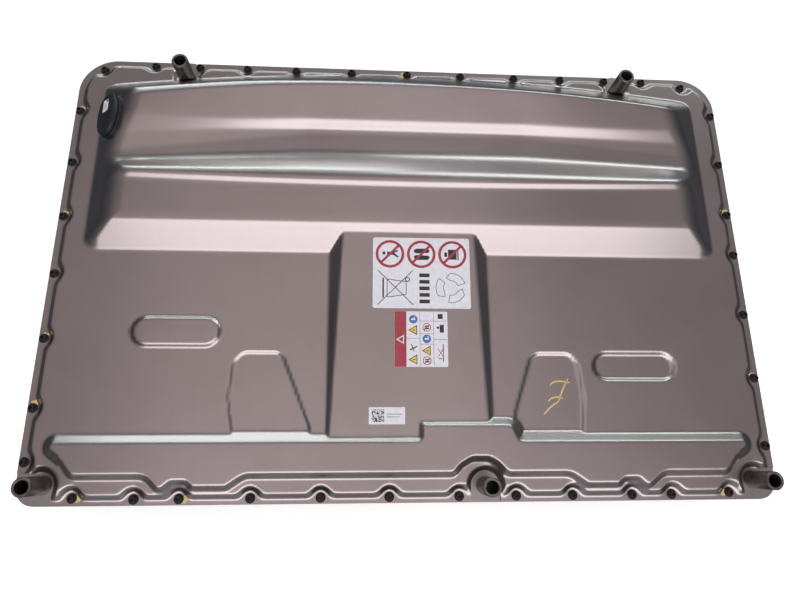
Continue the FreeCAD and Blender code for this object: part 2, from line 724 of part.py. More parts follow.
# ---- junction box -------------------------------------------------------------------------
def box_shell(z0, z1):
    return box(-BOX_HALF, BOX_HALF, back(BOX_FRONT), back(BOX_REAR), z0, z1)


def box_space(z0, z1):
    w = BOX_WALL
    return box(-BOX_HALF + w, BOX_HALF - w, back(BOX_FRONT + w), back(BOX_REAR - w), z0, z1)


def junction_box_base():
    hollow_above = box_space(BOX_FLOOR, BOX_SPLIT + 1)
    hollow_below = box_space(MODULE_BOTTOM - 1, BOX_FLOOR - 3)
    return box_shell(MODULE_BOTTOM, BOX_SPLIT).cut([hollow_above, hollow_below])


def junction_box_lid():
    """Lid, with slots in its walls where the bars pass."""
    lid = box_shell(BOX_SPLIT, BOX_TOP).cut(box_space(BOX_SPLIT - 1, BOX_TOP - BOX_WALL))
    y = back(REAR_BANK + MODULE[0] / 2 - 52)
    side_slot = box(-BOX_HALF - 5, BOX_HALF + 5, y - 10, y + 10, TERMINAL_TOP, TERMINAL_TOP + 6)
    front = back(BOX_FRONT)
    front_slots = [box(s * HV_PIN - 9, s * HV_PIN + 9, front - 5, front + 5, TERMINAL_TOP + 7,
                       TERMINAL_TOP + 15) for s in (-1, 1)]
    return lid.cut([side_slot] + front_slots)


def contactor(side):
    """Sealed main contactor: a round can on a foot, with two studs that end in fixed contacts."""
    x, y = side * CONTACTOR_X, back(CONTACTOR_BACK)
    can = cylinder(x, y, BOX_FLOOR, CONTACTOR_TOP, 26)
    foot = box(x - 30, x + 30, y - 14, y + 14, BOX_FLOOR, BOX_FLOOR + 4)
    chamber = cylinder(x, y, BOX_FLOOR + 3, CONTACTOR_TOP - 4, 22)
    studs = [cylinder(x, y + s * STUD, CONTACTOR_TOP - 4.8, STUD_TOP, 4) for s in (-1, 1)]
    return can.fuse(foot).cut(chamber).multiFuse(studs)


def contactor_armature(side):
    """Moving core, rod and contact bridge; it rises by its travel to close the circuit."""
    x, y = side * CONTACTOR_X, back(CONTACTOR_BACK)
    bridge_top = CONTACTOR_TOP - 4.8 - ARMATURE_TRAVEL - 0.2
    core = cylinder(x, y, BOX_FLOOR + 5, BOX_FLOOR + 20, 12)
    rod = cylinder(x, y, BOX_FLOOR + 19, bridge_top - 4, 3)
    bridge = box(x - 6, x + 6, y - 16, y + 16, bridge_top - 5, bridge_top)
    return fuse([core, rod, bridge])


def precharge_relay():
    """Relay with its series resistor beside it."""
    y = back(REAR_BANK + 120)
    relay = box(-14, 14, y - 18, y + 18, BOX_FLOOR, BOX_FLOOR + 28)
    resistor = box(-46, -20, y - 10, y + 10, BOX_FLOOR, BOX_FLOOR + 12)
    return Part.makeCompound([relay, resistor])


def main_fuse():
    y = back(REAR_BANK + 120)
    z = BOX_FLOOR + 18
    barrel = Part.makeCylinder(13, 44, V(32, y, z), V(1, 0, 0))
    blades = [box(x, x + 14, y - 9, y + 9, z - 1.5, z + 1.5) for x in (20, 74)]
    return fuse([barrel] + blades)


def current_sensor():
    x, y = -72.0, back(REAR_BANK + 120)
    body = box(x - 16, x + 16, y - 14, y + 14, BOX_FLOOR, BOX_FLOOR + 34)
    window = box(x - 20, x + 20, y - 8, y + 8, BOX_FLOOR + 12, BOX_FLOOR + 18)
    return body.cut(window)


# ---- electronics and connectors -----------------------------------------------------------
def battery_controller():
    """Flat control unit behind the rear modules, with cooling fins and three sockets."""
    body = box(-200, -20, back(567), back(604), 20, 62)
    fins = [box(-190 + 18 * i, -186 + 18 * i, back(569), back(602), 61, 68) for i in range(10)]
    sockets = [box(x, x + 40, back(562), back(568), 30, 50) for x in (-190, -132, -74)]
    return fuse([body] + fins + sockets)


def header(x, half_width, half_height, reach, pins, pin_r):
    """A panel connector: flange outside the front wall, shroud, and contact pins inside it."""
    wall = back(TUB_FRONT)
    inner_end = wall + TUB_WALL + 4
    flange = box(x - half_width - 8, x + half_width + 8, wall - 4, wall, HV_Z - half_height - 6,
                 HV_Z + half_height + 6)
    shroud = box(x - half_width, x + half_width, wall - reach, inner_end, HV_Z - half_height,
                 HV_Z + half_height)
    socket = box(x - half_width + 2.5, x + half_width - 2.5, wall - reach - 1, wall - 2,
                 HV_Z - half_height + 2.5, HV_Z + half_height - 2.5)
    shell = flange.fuse(shroud).cut(socket)
    contacts = [Part.makeCylinder(pin_r, 18, V(px, wall - 18, pz), V(0, 1, 0)) for px, pz in pins]
    return fuse([shell] + contacts)


def hv_connector():
    pins = [(HV_X + s * HV_PIN, HV_Z) for s in (-1, 1)]
    return header(HV_X, 28, 17, 36, pins, 4)


def lv_connector():
    pins = [(LV_X - 10 + 4 * i, HV_Z + dz) for i in range(6) for dz in (-3, 3)]
    return header(LV_X, 14, 9, 26, pins, 0.8)


def build_outside():
    save("top_cover", top_cover())
    save("cover_seal", cover_seal())
    save("tray", tray())
    for name, place in SLEEVES.items():
        save("sleeve_" + name, mounting_sleeve(place))
    for side, places in SCREW_ROWS.items():
        save("cover_screws_" + side, screw_row(places))
    save("vent_housing", vent_housing())
    save("vent_membrane", vent_membrane())
    save("vent_cap", vent_cap())
    save("label_handling", label(-52, 87, 252, 356))
    save("label_hazard", label(-21, 53, 170, 248))
    save("label_code", label(-56, -7, 93, 116))


def build_inside():
    save("cold_plate_front", cold_plate_front())
    save("cold_plate_rear", cold_plate_rear())
    save("coolant_spigots", coolant_spigots())
    save("coolant_manifold", coolant_manifold())
    cells, frame, busbars = module_cells(), module_frame(), module_busbars()
    for number, place in enumerate(module_places(), 1):
        prefix = "module_%d_" % number
        save(prefix + "cells", put(cells, place))
        save(prefix + "frame", put(frame, place))
        save(prefix + "busbars", put(busbars, place))
    save("module_bolts", module_bolts())
    save("hv_busbars", hv_busbars())
    save("junction_box_base", junction_box_base())
    save("junction_box_lid", junction_box_lid())
    for name, side in (("positive", -1), ("negative", 1)):
        save("contactor_" + name, contactor(side))
        save("contactor_armature_" + name, contactor_armature(side))
    save("precharge_relay", precharge_relay())
    save("main_fuse", main_fuse())
    save("current_sensor", current_sensor())
    save("battery_controller", battery_controller())
    save("hv_connector", hv_connector())
    save("lv_connector", lv_connector())


os.makedirs("parts", exist_ok=True)
build_outside()
build_inside()
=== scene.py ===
import json
import math
import random

import bpy
import numpy as np
from mathutils import Euler, Matrix, Vector


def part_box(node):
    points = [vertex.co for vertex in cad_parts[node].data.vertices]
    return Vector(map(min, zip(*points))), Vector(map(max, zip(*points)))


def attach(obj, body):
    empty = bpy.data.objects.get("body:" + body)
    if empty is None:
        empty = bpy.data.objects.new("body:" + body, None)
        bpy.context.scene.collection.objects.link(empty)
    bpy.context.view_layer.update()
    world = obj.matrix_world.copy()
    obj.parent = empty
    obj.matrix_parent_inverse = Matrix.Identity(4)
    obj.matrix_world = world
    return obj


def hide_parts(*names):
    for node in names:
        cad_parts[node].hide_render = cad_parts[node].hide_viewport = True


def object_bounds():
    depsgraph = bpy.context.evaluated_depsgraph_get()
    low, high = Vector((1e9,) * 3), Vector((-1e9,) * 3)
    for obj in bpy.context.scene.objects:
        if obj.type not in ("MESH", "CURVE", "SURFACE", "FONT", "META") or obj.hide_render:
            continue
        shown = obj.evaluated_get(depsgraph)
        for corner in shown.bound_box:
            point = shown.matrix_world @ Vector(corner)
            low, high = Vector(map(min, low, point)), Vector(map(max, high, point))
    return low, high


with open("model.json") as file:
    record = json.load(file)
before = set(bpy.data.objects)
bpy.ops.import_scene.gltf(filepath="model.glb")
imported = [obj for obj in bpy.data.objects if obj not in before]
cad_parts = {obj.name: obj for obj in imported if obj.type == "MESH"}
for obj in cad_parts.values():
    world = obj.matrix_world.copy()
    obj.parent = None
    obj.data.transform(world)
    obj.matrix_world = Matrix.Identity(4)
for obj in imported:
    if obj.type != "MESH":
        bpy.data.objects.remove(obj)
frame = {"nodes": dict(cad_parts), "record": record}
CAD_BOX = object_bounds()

# Lengths in this script are millimetres, and a piece's mesh is turned into metres when it is made.
# X and Y are the frame's own. Heights of the cover's shape are measured from the top of its flange.
MM = 0.001
SHEET = 1.2   # thickness of the cover's sheet
EDGE = [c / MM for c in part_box("top_cover")[0]]
FAR_EDGE = [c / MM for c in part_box("top_cover")[1]]
FLANGE_Z = EDGE[2] + SHEET   # top of the cover's flange
LEDGE = 7   # the cover's edge in front of the front screws
FRONT_ROW = EDGE[1] + LEDGE   # Y of the front row of screws
HALF_WIDTH = FAR_EDGE[0]
FRONT_CORNER_R = 12
REAR_CORNER_R = 55

PLATEAU = 8   # heights over the flange
PANEL = 18
TERRACE = 36
RIDGE = 42.5
CREST = FAR_EDGE[2] - FLANGE_Z
TUNNEL_FRONT = 12
TUNNEL_SLOPE = 14 / 285
TUNNEL_START = 75   # distance behind the front screw row
STEP_HALF = 2.8   # half the run of the step round the edge
HUMP_HALF = 462
HUMP_END_SLOPE = 0.71

GRID = 1.0   # pitch of the height field
MESH_STEP = 2   # mesh vertices stand on every second sample
SPARSE_D = (104, 560)   # where cells are twice as wide, in distance
SPARSE_X = 466   # and in |X|


def node_points(node):
    """The vertices of a CAD node, in millimetres."""
    mesh = frame["nodes"][node].data
    points = np.empty(len(mesh.vertices) * 3)
    mesh.vertices.foreach_get("co", points)
    return points.reshape(-1, 3) / MM


def clusters(points, reach):
    """Centres of groups of points that stand apart in plan."""
    left = points[:, :2]
    centres = []
    while len(left):
        near = np.hypot(*(left - left[0]).T) < reach
        group = left[near]
        centres.append(tuple((group.min(0) + group.max(0)) / 2))
        left = left[~near]
    return sorted(centres)


SCREW_NODES = ("cover_screws_front", "cover_screws_rear", "cover_screws_left", "cover_screws_right")
SCREWS = {node: clusters(node_points(node), 16) for node in SCREW_NODES}
ALL_SCREWS = [place for places in SCREWS.values() for place in places]
SLEEVE_NODES = ("sleeve_front_left", "sleeve_front_right", "sleeve_front_centre", "sleeve_rear_left",
                "sleeve_rear_right")


def middle(node):
    """Centre of a CAD node's box, in millimetres."""
    low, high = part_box(node)
    return (low + high) / 2 / MM


# ---- shared shape functions ---------------------------------------------------------------
def smooth_min(a, b, blend):
    """The lower of two heights, with the corner between them rounded over the blend."""
    mix = np.clip(0.5 + 0.5 * (b - a) / blend, 0, 1)
    return b + (a - b) * mix - blend * mix * (1 - mix)


def smooth_max(a, b, blend):
    return -smooth_min(-a, -b, blend)


def ramp(depth, half_run):
    """0 to 1 across a wall whose middle line lies at depth 0."""
    return np.clip((depth + half_run) / (2 * half_run), 0, 1)


def rounded_box_depth(x, d, half, front, rear, r_front, r_rear):
    """Distance inside a rectangle with rounded corners, negative outside."""
    centre = (front + rear) / 2
    radius = np.where(d < centre, r_front, r_rear)
    qx = np.abs(x) - half + radius
    qd = np.abs(d - centre) - (rear - front) / 2 + radius
    outside = np.hypot(np.maximum(qx, 0), np.maximum(qd, 0))
    return radius - outside - np.minimum(np.maximum(qx, qd), 0)


def box_distance(x, d, x0, x1, d0, d1):
    """Distance outside a plain rectangle, negative inside."""
    qx = np.abs(x - (x0 + x1) / 2) - (x1 - x0) / 2
    qd = np.abs(d - (d0 + d1) / 2) - (d1 - d0) / 2
    return np.hypot(np.maximum(qx, 0), np.maximum(qd, 0)) + np.minimum(np.maximum(qx, qd), 0)


def filleted(corners, steps=6):
    """A closed outline of (x, d, radius) corners, with each corner turned into an arc."""
    path = []
    for i, (x, d, radius) in enumerate(corners):
        here = Vector((x, d))
        before = Vector(corners[i - 1][:2]) - here
        after = Vector(corners[(i + 1) % len(corners)][:2]) - here
        turn = before.angle(after)
        reach = radius / math.tan(turn / 2)
        reach = min(reach, 0.49 * before.length, 0.49 * after.length)
        radius = reach * math.tan(turn / 2)
        bisector = (before.normalized() + after.normalized()).normalized()
        centre = here + bisector * (radius / math.sin(turn / 2))
        first = here + before.normalized() * reach - centre
        last = here + after.normalized() * reach - centre
        sweep = first.angle_signed(last)
        for k in range(steps + 1):
            arm = first.copy()
            arm.rotate(Matrix.Rotation(-sweep * k / steps, 2))
            path.append(tuple(centre + arm))
    return path


def outline_depth(x, d, path):
    """Distance inside a closed outline, negative outside."""
    nearest = np.full(x.shape, 1e9)
    inside = np.zeros(x.shape, bool)
    for (ax, ad), (bx, bd) in zip(path, path[1:] + path[:1]):
        ex, ed = bx - ax, bd - ad
        length = ex * ex + ed * ed
        if length < 1e-9:
            continue
        t = np.clip(((x - ax) * ex + (d - ad) * ed) / length, 0, 1)
        nearest = np.minimum(nearest, (x - ax - t * ex) ** 2 + (d - ad - t * ed) ** 2)
        if ad != bd:
            crossing = (ad > d) != (bd > d)
            inside ^= crossing & (x < ax + (d - ad) / (bd - ad) * ex)
    return np.where(inside, 1, -1) * np.sqrt(nearest)


def blurred(field, sigma, axis):
    """Gaussian blur along one axis, with the border repeated."""
    reach = int(math.ceil(3 * sigma))
    taps = np.exp(-0.5 * (np.arange(-reach, reach + 1) / sigma) ** 2)
    taps /= taps.sum()
    pad = [(0, 0), (0, 0)]
    pad[axis] = (reach, reach)
    wide = np.pad(field, pad, mode="edge")
    size = field.shape[axis]
    total = 0
    for i, tap in enumerate(taps):
        total = total + tap * (wide[i:i + size] if axis == 0 else wide[:, i:i + size])
    return total


# ---- the cover's shape --------------------------------------------------------------------
def behind(y):
    """Distance behind the front row of screws."""
    return y - FRONT_ROW


SLEEVE_HOLLOWS = (20.5, 20.5, 23, 19, 19)   # radii that the step keeps from each sleeve
SLEEVE_NOTCHES = (15, 15, 20, 14, 14)   # half widths of the notches in the cut edge
SCREW_HOLLOW = 12.8


def pan_depth(x, d, sleeves):
    """Distance inside the middle line of the step that rises from the flange."""
    depth = rounded_box_depth(x, d, 494, 2.4, 642, 16, 46)
    for node, radius in zip(sleeves, SLEEVE_HOLLOWS):
        sx, sy, _ = middle(node)
        depth = smooth_min(depth, np.hypot(x - sx, d - behind(sy)) - radius, 10)
    for sx, sy in ALL_SCREWS:
        depth = smooth_min(depth, np.hypot(x - sx, d - behind(sy)) - SCREW_HOLLOW, 8)
    return depth


PANEL_CORNERS = [
    (-467.5, 75.5, 10), (-470, 61, 12), (-449, 47, 16), (-434, 28, 12), (-342, 28, 22), (-325, 11.5, 7),
    (-318, 11.5, 6), (-308, 20.5, 8), (-290, 20.5, 8), (-281, 13, 7), (-238, 13, 10), (-216, 28, 24),
    (57, 28, 10), (68, 40, 16), (82, 48, 16), (106, 48, 18), (116, 41, 18), (129, 28, 12),
    (214, 28, 24), (236, 13, 10), (279, 13, 7), (288, 20.5, 8), (306, 20.5, 8), (315, 11.5, 6),
    (322, 11.5, 7), (343, 28, 22), (432, 28, 12), (447, 48, 16), (468.5, 60, 12), (467, 75.5, 10),
    (150, 75.5, 6), (141, 97, 14), (12, 97, 3), (12, 75.5, 3)]


def front_panel(x, d):
    """Height of the raised panel along the front edge; its walls run on down into the pockets."""
    rise = np.zeros(x.shape)
    near = d < 115
    depth = outline_depth(x[near], d[near], filleted(PANEL_CORNERS))
    run = np.where((d[near] > 66) | (np.abs(x[near]) > 452), 12.4, 6.8)
    rise[near] = PLATEAU - 4 + (PANEL - PLATEAU + 4) * np.clip((depth + run * 0.9) / (run * 1.4), 0, 1)
    return rise


def pads(x, d):
    """The raised pad on the left and the sunk one on the right."""
    rise = np.zeros(x.shape)
    left = 20 - np.hypot(np.maximum(np.abs(x + 321) - 39, 0), d - 219)
    right = 18.5 - np.hypot(np.maximum(np.abs(x - 321) - 40, 0), d - 173.5)
    rise += 4.5 * ramp(left, 2.6) + 0.03 * np.clip(left, 0, 20)
    rise -= 4.5 * ramp(right, 2.6)
    return rise


def shallow_pockets(x, d):
    """Two shallow pockets with slanting sides, one each side of the tunnel."""
    left = [(-233, 60, 2), (-132, 60, 2), (-136, 92, 2), (-174, 184, 12), (-182, 191, 10),
            (-229, 191, 14), (-241, 178, 16), (-246, 130, 40)]
    right = [(140, 60, 2), (236, 60, 2), (243, 130, 40), (238, 178, 16), (227, 191, 14),
             (181, 191, 10), (171, 184, 12), (146, 110, 2)]
    sunk = np.zeros(x.shape)
    near = (d < 215) & (np.abs(x) < 270) & (np.abs(x) > 100)
    for corners in (left, right):
        depth = outline_depth(x[near], d[near], filleted(corners))
        sunk[near] -= 3.0 * ramp(depth, 2.0)
    return sunk


def tunnel(x, d):
    """Height of the wedge that runs forward from the hump."""
    top = TUNNEL_FRONT + (d - TUNNEL_START) * TUNNEL_SLOPE
    half = 109 - (d - TUNNEL_START) * 12 / 255
    top = top - 0.9 * np.maximum(0, 60 - d) - 3 * np.maximum(0, d - 385)
    return smooth_min(top, top + (half - np.abs(x)) * 0.95, 2.5)


# The valley's section from the ridge to the foot of the crest, in the middle and at the hump's ends.
VALLEY_MIDDLE = [(447, 41.9), (454, 39.6), (461, 36.0), (483, 23.5), (490, 20.6), (497, 19.2), (527, 19.0),
                 (531.5, 20.0), (541, 28.4), (545, 30.6)]
VALLEY_END = [(449, 41.5), (453, 39.6), (457, 36.2), (463, 31.0), (468, 27.6), (474, 25.8), (486, 26.0),
              (510, 32.2), (537, 42.8), (545, 44.2)]


def hump_knots(x):
    """Bends of the hump's section at one X, as (distance, height), from front to rear."""
    taper = min(max((-150 - x) / 280, (x - 180) / 340, 0), 1)
    out = taper * taper * (3 - 2 * taper)
    bow = 6 * (x / 400) ** 2
    crest_at = 594 - 24 * (x / 400) ** 2
    foot_at = 637 - 24 * (x / 400) ** 2
    crest = CREST + 0.2 - 3.5 * out
    brow = min(max(10 - 0.02 * (x + 150), 4), 12)
    slope = (crest - 0.32 * brow - PLATEAU) / (foot_at - crest_at - brow)
    knots = [(300, PLATEAU - 21), (333, PLATEAU), (374, TERRACE - 0.5), (429.5 + bow, TERRACE + 0.8),
             (438.5 + bow, RIDGE + 0.3)]
    for middle_knot, end_knot in zip(VALLEY_MIDDLE, VALLEY_END):
        knots.append([a * (1 - taper) + b * taper for a, b in zip(middle_knot, end_knot)])
    return knots + [(crest_at, crest), (crest_at + brow, crest - 0.32 * brow), (foot_at, PLATEAU),
                    (foot_at + 30, PLATEAU - 30 * slope)]


def hump(x, d):
    """Height of the hump across the rear half."""
    section = np.empty(x.shape)
    for i in range(x.shape[1]):
        knots = hump_knots(x[0, i])
        section[:, i] = np.interp(d[:, i], [k[0] for k in knots], [k[1] for k in knots])
    section = blurred(section, 2.2, 0)
    section[(d < 305) | (d > 665)] = -50
    inside = rounded_box_depth(x, d, HUMP_HALF, 331, 664, 22, 70)
    ends = PLATEAU + inside * HUMP_END_SLOPE
    return smooth_min(section, ends, 13)


def cover_heights(x, d):
    """Height of the cover's upper surface over its flange."""
    edge = pan_depth(x, d, ())
    low = PLATEAU + pads(x, d) + shallow_pockets(x, d)
    low = smooth_max(low, tunnel(x, d), 1.5)
    low = smooth_max(low, front_panel(x, d), 1.0)
    depth = pan_depth(x, d, SLEEVE_NODES)
    low = np.minimum(low, PLATEAU * ramp(depth, STEP_HALF) + np.maximum(0, depth - STEP_HALF) * 1.8)
    wall = np.minimum(hump(x, d), PLATEAU * ramp(edge, STEP_HALF) + np.maximum(0, edge - STEP_HALF) * 3)
    low = smooth_max(low, wall, 2)
    low = np.where((depth < -STEP_HALF) & (edge < -STEP_HALF), 0, low)
    return blurred(blurred(low, 1.25, 0), 1.25, 1)


def outline_distance(x, d):
    """Distance inside the cover's cut edge, negative outside and in the sleeves' notches."""
    depth = rounded_box_depth(x, d, HALF_WIDTH, behind(EDGE[1]), behind(FAR_EDGE[1]), FRONT_CORNER_R,
                              REAR_CORNER_R)
    for node, gap in zip(SLEEVE_NODES, SLEEVE_NOTCHES):
        sx, sy, _ = middle(node)
        sd = behind(sy)
        notch = np.hypot(x - sx, d - sd) - gap
        if "rear" in node:
            notch = np.minimum(notch, box_distance(x, d, sx - gap, sx + gap, sd, sd + 60))
        else:
            notch = np.minimum(notch, box_distance(x, d, sx - gap, sx + gap, sd - 60, sd))
        if node == "sleeve_front_left":
            notch = np.minimum(notch, box_distance(x, d, sx - 60, sx, sd - 60, sd + gap))
        if node == "sleeve_front_right":
            notch = np.minimum(notch, box_distance(x, d, sx, sx + 60, sd - 60, sd + gap))
        depth = np.minimum(depth, notch)
    return depth


class HeightField:
    """The cover's upper surface, sampled on a square grid."""

    def __init__(self):
        self.x = np.arange(-HALF_WIDTH, HALF_WIDTH + GRID / 2, GRID)
        self.d = np.arange(behind(EDGE[1]), behind(FAR_EDGE[1]) + GRID / 2, GRID)
        grid_x, grid_d = np.meshgrid(self.x, self.d)
        self.z = cover_heights(grid_x, grid_d)
        self.inside = outline_distance(grid_x, grid_d)
        slope_d, slope_x = np.gradient(self.z, GRID)
        self.slopes = (slope_x, slope_d)

    def sample(self, field, x, d):
        """The field between its samples, by bilinear interpolation."""
        u = np.clip((x - self.x[0]) / GRID, 0, len(self.x) - 1.001)
        v = np.clip((d - self.d[0]) / GRID, 0, len(self.d) - 1.001)
        i, j = u.astype(int), v.astype(int)
        u, v = u - i, v - j
        low = field[j, i] * (1 - u) + field[j, i + 1] * u
        high = field[j + 1, i] * (1 - u) + field[j + 1, i + 1] * u
        return low * (1 - v) + high * v

    def height(self, x, d):
        return self.sample(self.z, x, d)

    def normals(self, x, d):
        nx = -self.sample(self.slopes[0], x, d)
        ny = -self.sample(self.slopes[1], x, d)
        length = np.sqrt(nx * nx + ny * ny + 1)
        return np.stack([nx / length, ny / length, 1 / length], 1)


def grid_faces(inside, kept, sparse_rows, sparse_pairs):
    """Faces of a square grid that is cut along its edge and has wider cells in its sparse part."""
    rows, columns = inside.shape
    index = np.arange(rows * columns).reshape(rows, columns)
    quads = np.stack([index[:-1, :-1], index[:-1, 1:], index[1:, 1:], index[1:, :-1]], 2)
    fine = np.ones((rows - 1, columns - 1), bool)
    faces = []
    for c in sparse_pairs:
        fine[np.ix_(sparse_rows, (c, c + 1))] = False
        for r in sparse_rows:
            face = [index[r, c], index[r, c + 2], index[r + 1, c + 2], index[r + 1, c]]
            if r == sparse_rows[-1]:
                face.insert(3, index[r + 1, c + 1])
            if r == sparse_rows[0]:
                face.insert(1, index[r, c + 1])
            faces.append([int(v) for v in face])
    quads = quads[fine]
    use = kept.reshape(-1)[quads]
    faces += quads[use.all(1)].tolist()
    for quad, mask in zip(quads[use.sum(1) == 3], use[use.sum(1) == 3]):
        faces.append(quad[mask].tolist())
    return faces


def trimmed_grid(field):
    """Vertices and faces of the cover in plan, cut off along its edge."""
    pick = slice(None, None, MESH_STEP)
    inside = field.inside[pick, pick]
    x_lines, d_lines = field.x[pick], field.d[pick]
    grid_x, grid_d = np.meshgrid(x_lines, d_lines)
    step_d, step_x = np.gradient(inside, MESH_STEP * GRID)
    length = np.maximum(np.hypot(step_x, step_d), 0.3)
    near = MESH_STEP * GRID * 0.72
    snap = (inside < near * 0.35) & (inside > -near)
    grid_x = np.where(snap, grid_x - inside * step_x / length, grid_x)
    grid_d = np.where(snap, grid_d - inside * step_d / length, grid_d)
    kept = snap | (inside >= 0)
    sparse_rows = [r for r in range(len(d_lines) - 1) if SPARSE_D[0] < d_lines[r] < SPARSE_D[1]]
    sparse_pairs = [c for c in range(0, len(x_lines) - 2, 2)
                    if max(abs(x_lines[c]), abs(x_lines[c + 2])) < SPARSE_X]
    faces = grid_faces(inside, kept, sparse_rows, sparse_pairs)
    used = sorted({v for face in faces for v in face})
    renumber = dict(zip(used, range(len(used))))
    faces = [[renumber[v] for v in face] for face in faces]
    return grid_x.reshape(-1)[used], grid_d.reshape(-1)[used], faces


def link(name, mesh, body, materials, replaced=()):
    """Puts a finished mesh in the scene as a piece that rides a body."""
    piece = bpy.data.objects.new(name, mesh)
    bpy.context.scene.collection.objects.link(piece)
    for material in materials:
        mesh.materials.append(material)
    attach(piece, body)
    if replaced:
        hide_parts(*replaced)


def build_cover(field, material):
    """The stamped sheet: upper face, lower face and the cut edge between them."""
    x, d, faces = trimmed_grid(field)
    count = len(x)
    top = np.stack([x, d + FRONT_ROW, field.height(x, d) + FLANGE_Z], 1)
    under = top - np.array([0, 0, SHEET])
    edges = {}
    for face in faces:
        for edge in zip(face, face[1:] + face[:1]):
            edges[edge] = True
    rim = [(a, b) for a, b in edges if (b, a) not in edges]
    everything = faces + [tuple(v + count for v in reversed(face)) for face in faces]
    everything += [(b, a, a + count, b + count) for a, b in rim]
    mesh = bpy.data.meshes.new("cover_sheet")
    mesh.from_pydata((np.concatenate([top, under]) * MM).tolist(), [], everything)
    up = field.normals(x, d)
    normals = []
    for face in faces:
        normals += [up[v] for v in face]
    for face in faces:
        normals += [-up[v] for v in reversed(face)]
    for a, b in rim:
        run = top[b] - top[a]
        outward = np.array([run[1], -run[0], 0])
        normals += [outward / max(np.linalg.norm(outward), 1e-9)] * 4
    mesh.shade_smooth()
    mesh.normals_split_custom_set([tuple(n) for n in normals])
    link("cover_pressing", mesh, "cover", [material], ["top_cover"])


# ---- small mesh builders ------------------------------------------------------------------
class Solid:
    """Collects closed forms, in millimetres, into one mesh with a material number for each face."""

    def __init__(self):
        self.points = []
        self.faces = []
        self.finish = []
        self.smooth = []

    def add(self, points, faces, finish=0, smooth=False):
        start = len(self.points)
        self.points += [tuple(p) for p in points]
        self.faces += [tuple(v + start for v in face) for face in faces]
        self.finish += [finish] * len(faces)
        self.smooth += [smooth] * len(faces)

    def loft(self, points, steps, finish=0, joined=False):
        """Joins rings of points; the ends are capped, or joined to each other."""
        rings = len(points) // steps
        faces = []
        for r in range(rings if joined else rings - 1):
            a, b = r * steps, (r + 1) % rings * steps
            for i in range(steps):
                j = (i + 1) % steps
                faces.append((a + i, a + j, b + j, b + i))
        if not joined:
            faces.append(tuple(reversed(range(steps))))
            faces.append(tuple(range(len(points) - steps, len(points))))
        self.add(points, faces, finish, True)

    def lathe(self, profile, place, steps=40, joined=False):
        """Turns (radius, height) points about an upright axis."""
        points = []
        for radius, z in profile:
            points += [(px, py, place[2] + z) for px, py in circle(place[0], place[1], radius, steps)]
        self.loft(points, steps, joined=joined)

    def prism(self, outline, base, height, place, finish=0):
        """A flat form with upright sides; place turns its own (u, v, w) into the frame's points."""
        count = len(outline)
        points = [place((u, v, w)) for w in (base, base + height) for u, v in outline]
        faces = [tuple(reversed(range(count))), tuple(range(count, 2 * count))]
        faces += [(i, (i + 1) % count, (i + 1) % count + count, i + count) for i in range(count)]
        self.add(points, faces, finish)

    def ring(self, outer, inner, base, height, place, finish=0):
        """A flat band between two outlines with the same number of points."""
        count = len(outer)
        points = [place((u, v, w)) for w in (base, base + height) for o in (outer, inner) for u, v in o]
        faces = []
        for i in range(count):
            j = (i + 1) % count
            low_out, low_in, top_out, top_in = 0, count, 2 * count, 3 * count
            faces.append((top_out + i, top_out + j, top_in + j, top_in + i))
            faces.append((low_in + i, low_in + j, low_out + j, low_out + i))
            faces.append((low_out + i, low_out + j, top_out + j, top_out + i))
            faces.append((low_in + j, low_in + i, top_in + i, top_in + j))
        self.add(points, faces, finish)

    def mesh(self, name, crease=35):
        mesh = bpy.data.meshes.new(name)
        mesh.from_pydata([(x * MM, y * MM, z * MM) for x, y, z in self.points], [], self.faces)
        mesh.polygons.foreach_set("material_index", self.finish)
        mesh.polygons.foreach_set("use_smooth", self.smooth)
        mesh.update()
        if any(self.smooth):
            mesh.set_sharp_from_angle(angle=math.radians(crease))
        return mesh


def polar(cx, cy, radius, angle):
    return (cx + radius * math.cos(angle), cy + radius * math.sin(angle))


def full_turn(steps):
    """Even angles round a circle."""
    return [2 * math.pi * i / steps for i in range(steps)]


def circle(cx, cy, radius, steps=32):
    """Points round a circle."""
    return [polar(cx, cy, radius, a) for a in full_turn(steps)]


def rounded_rectangle(x0, x1, y0, y1, radius, steps=5):
    """Points round a rectangle whose corners are arcs."""
    corners = ((x1 - radius, y1 - radius, 0), (x0 + radius, y1 - radius, 90),
               (x0 + radius, y0 + radius, 180), (x1 - radius, y0 + radius, 270))
    outline = []
    for cx, cy, start in corners:
        outline += [polar(cx, cy, radius, math.radians(start + 90 * i / steps)) for i in range(steps + 1)]
    return outline


def bar(ax, ay, bx, by, width):
    """Outline of a straight stroke."""
    along = Vector((bx - ax, by - ay)).normalized()
    side = Vector((-along.y, along.x)) * width / 2
    return [(ax - side.x, ay - side.y), (bx - side.x, by - side.y), (bx + side.x, by + side.y),
            (ax + side.x, ay + side.y)]


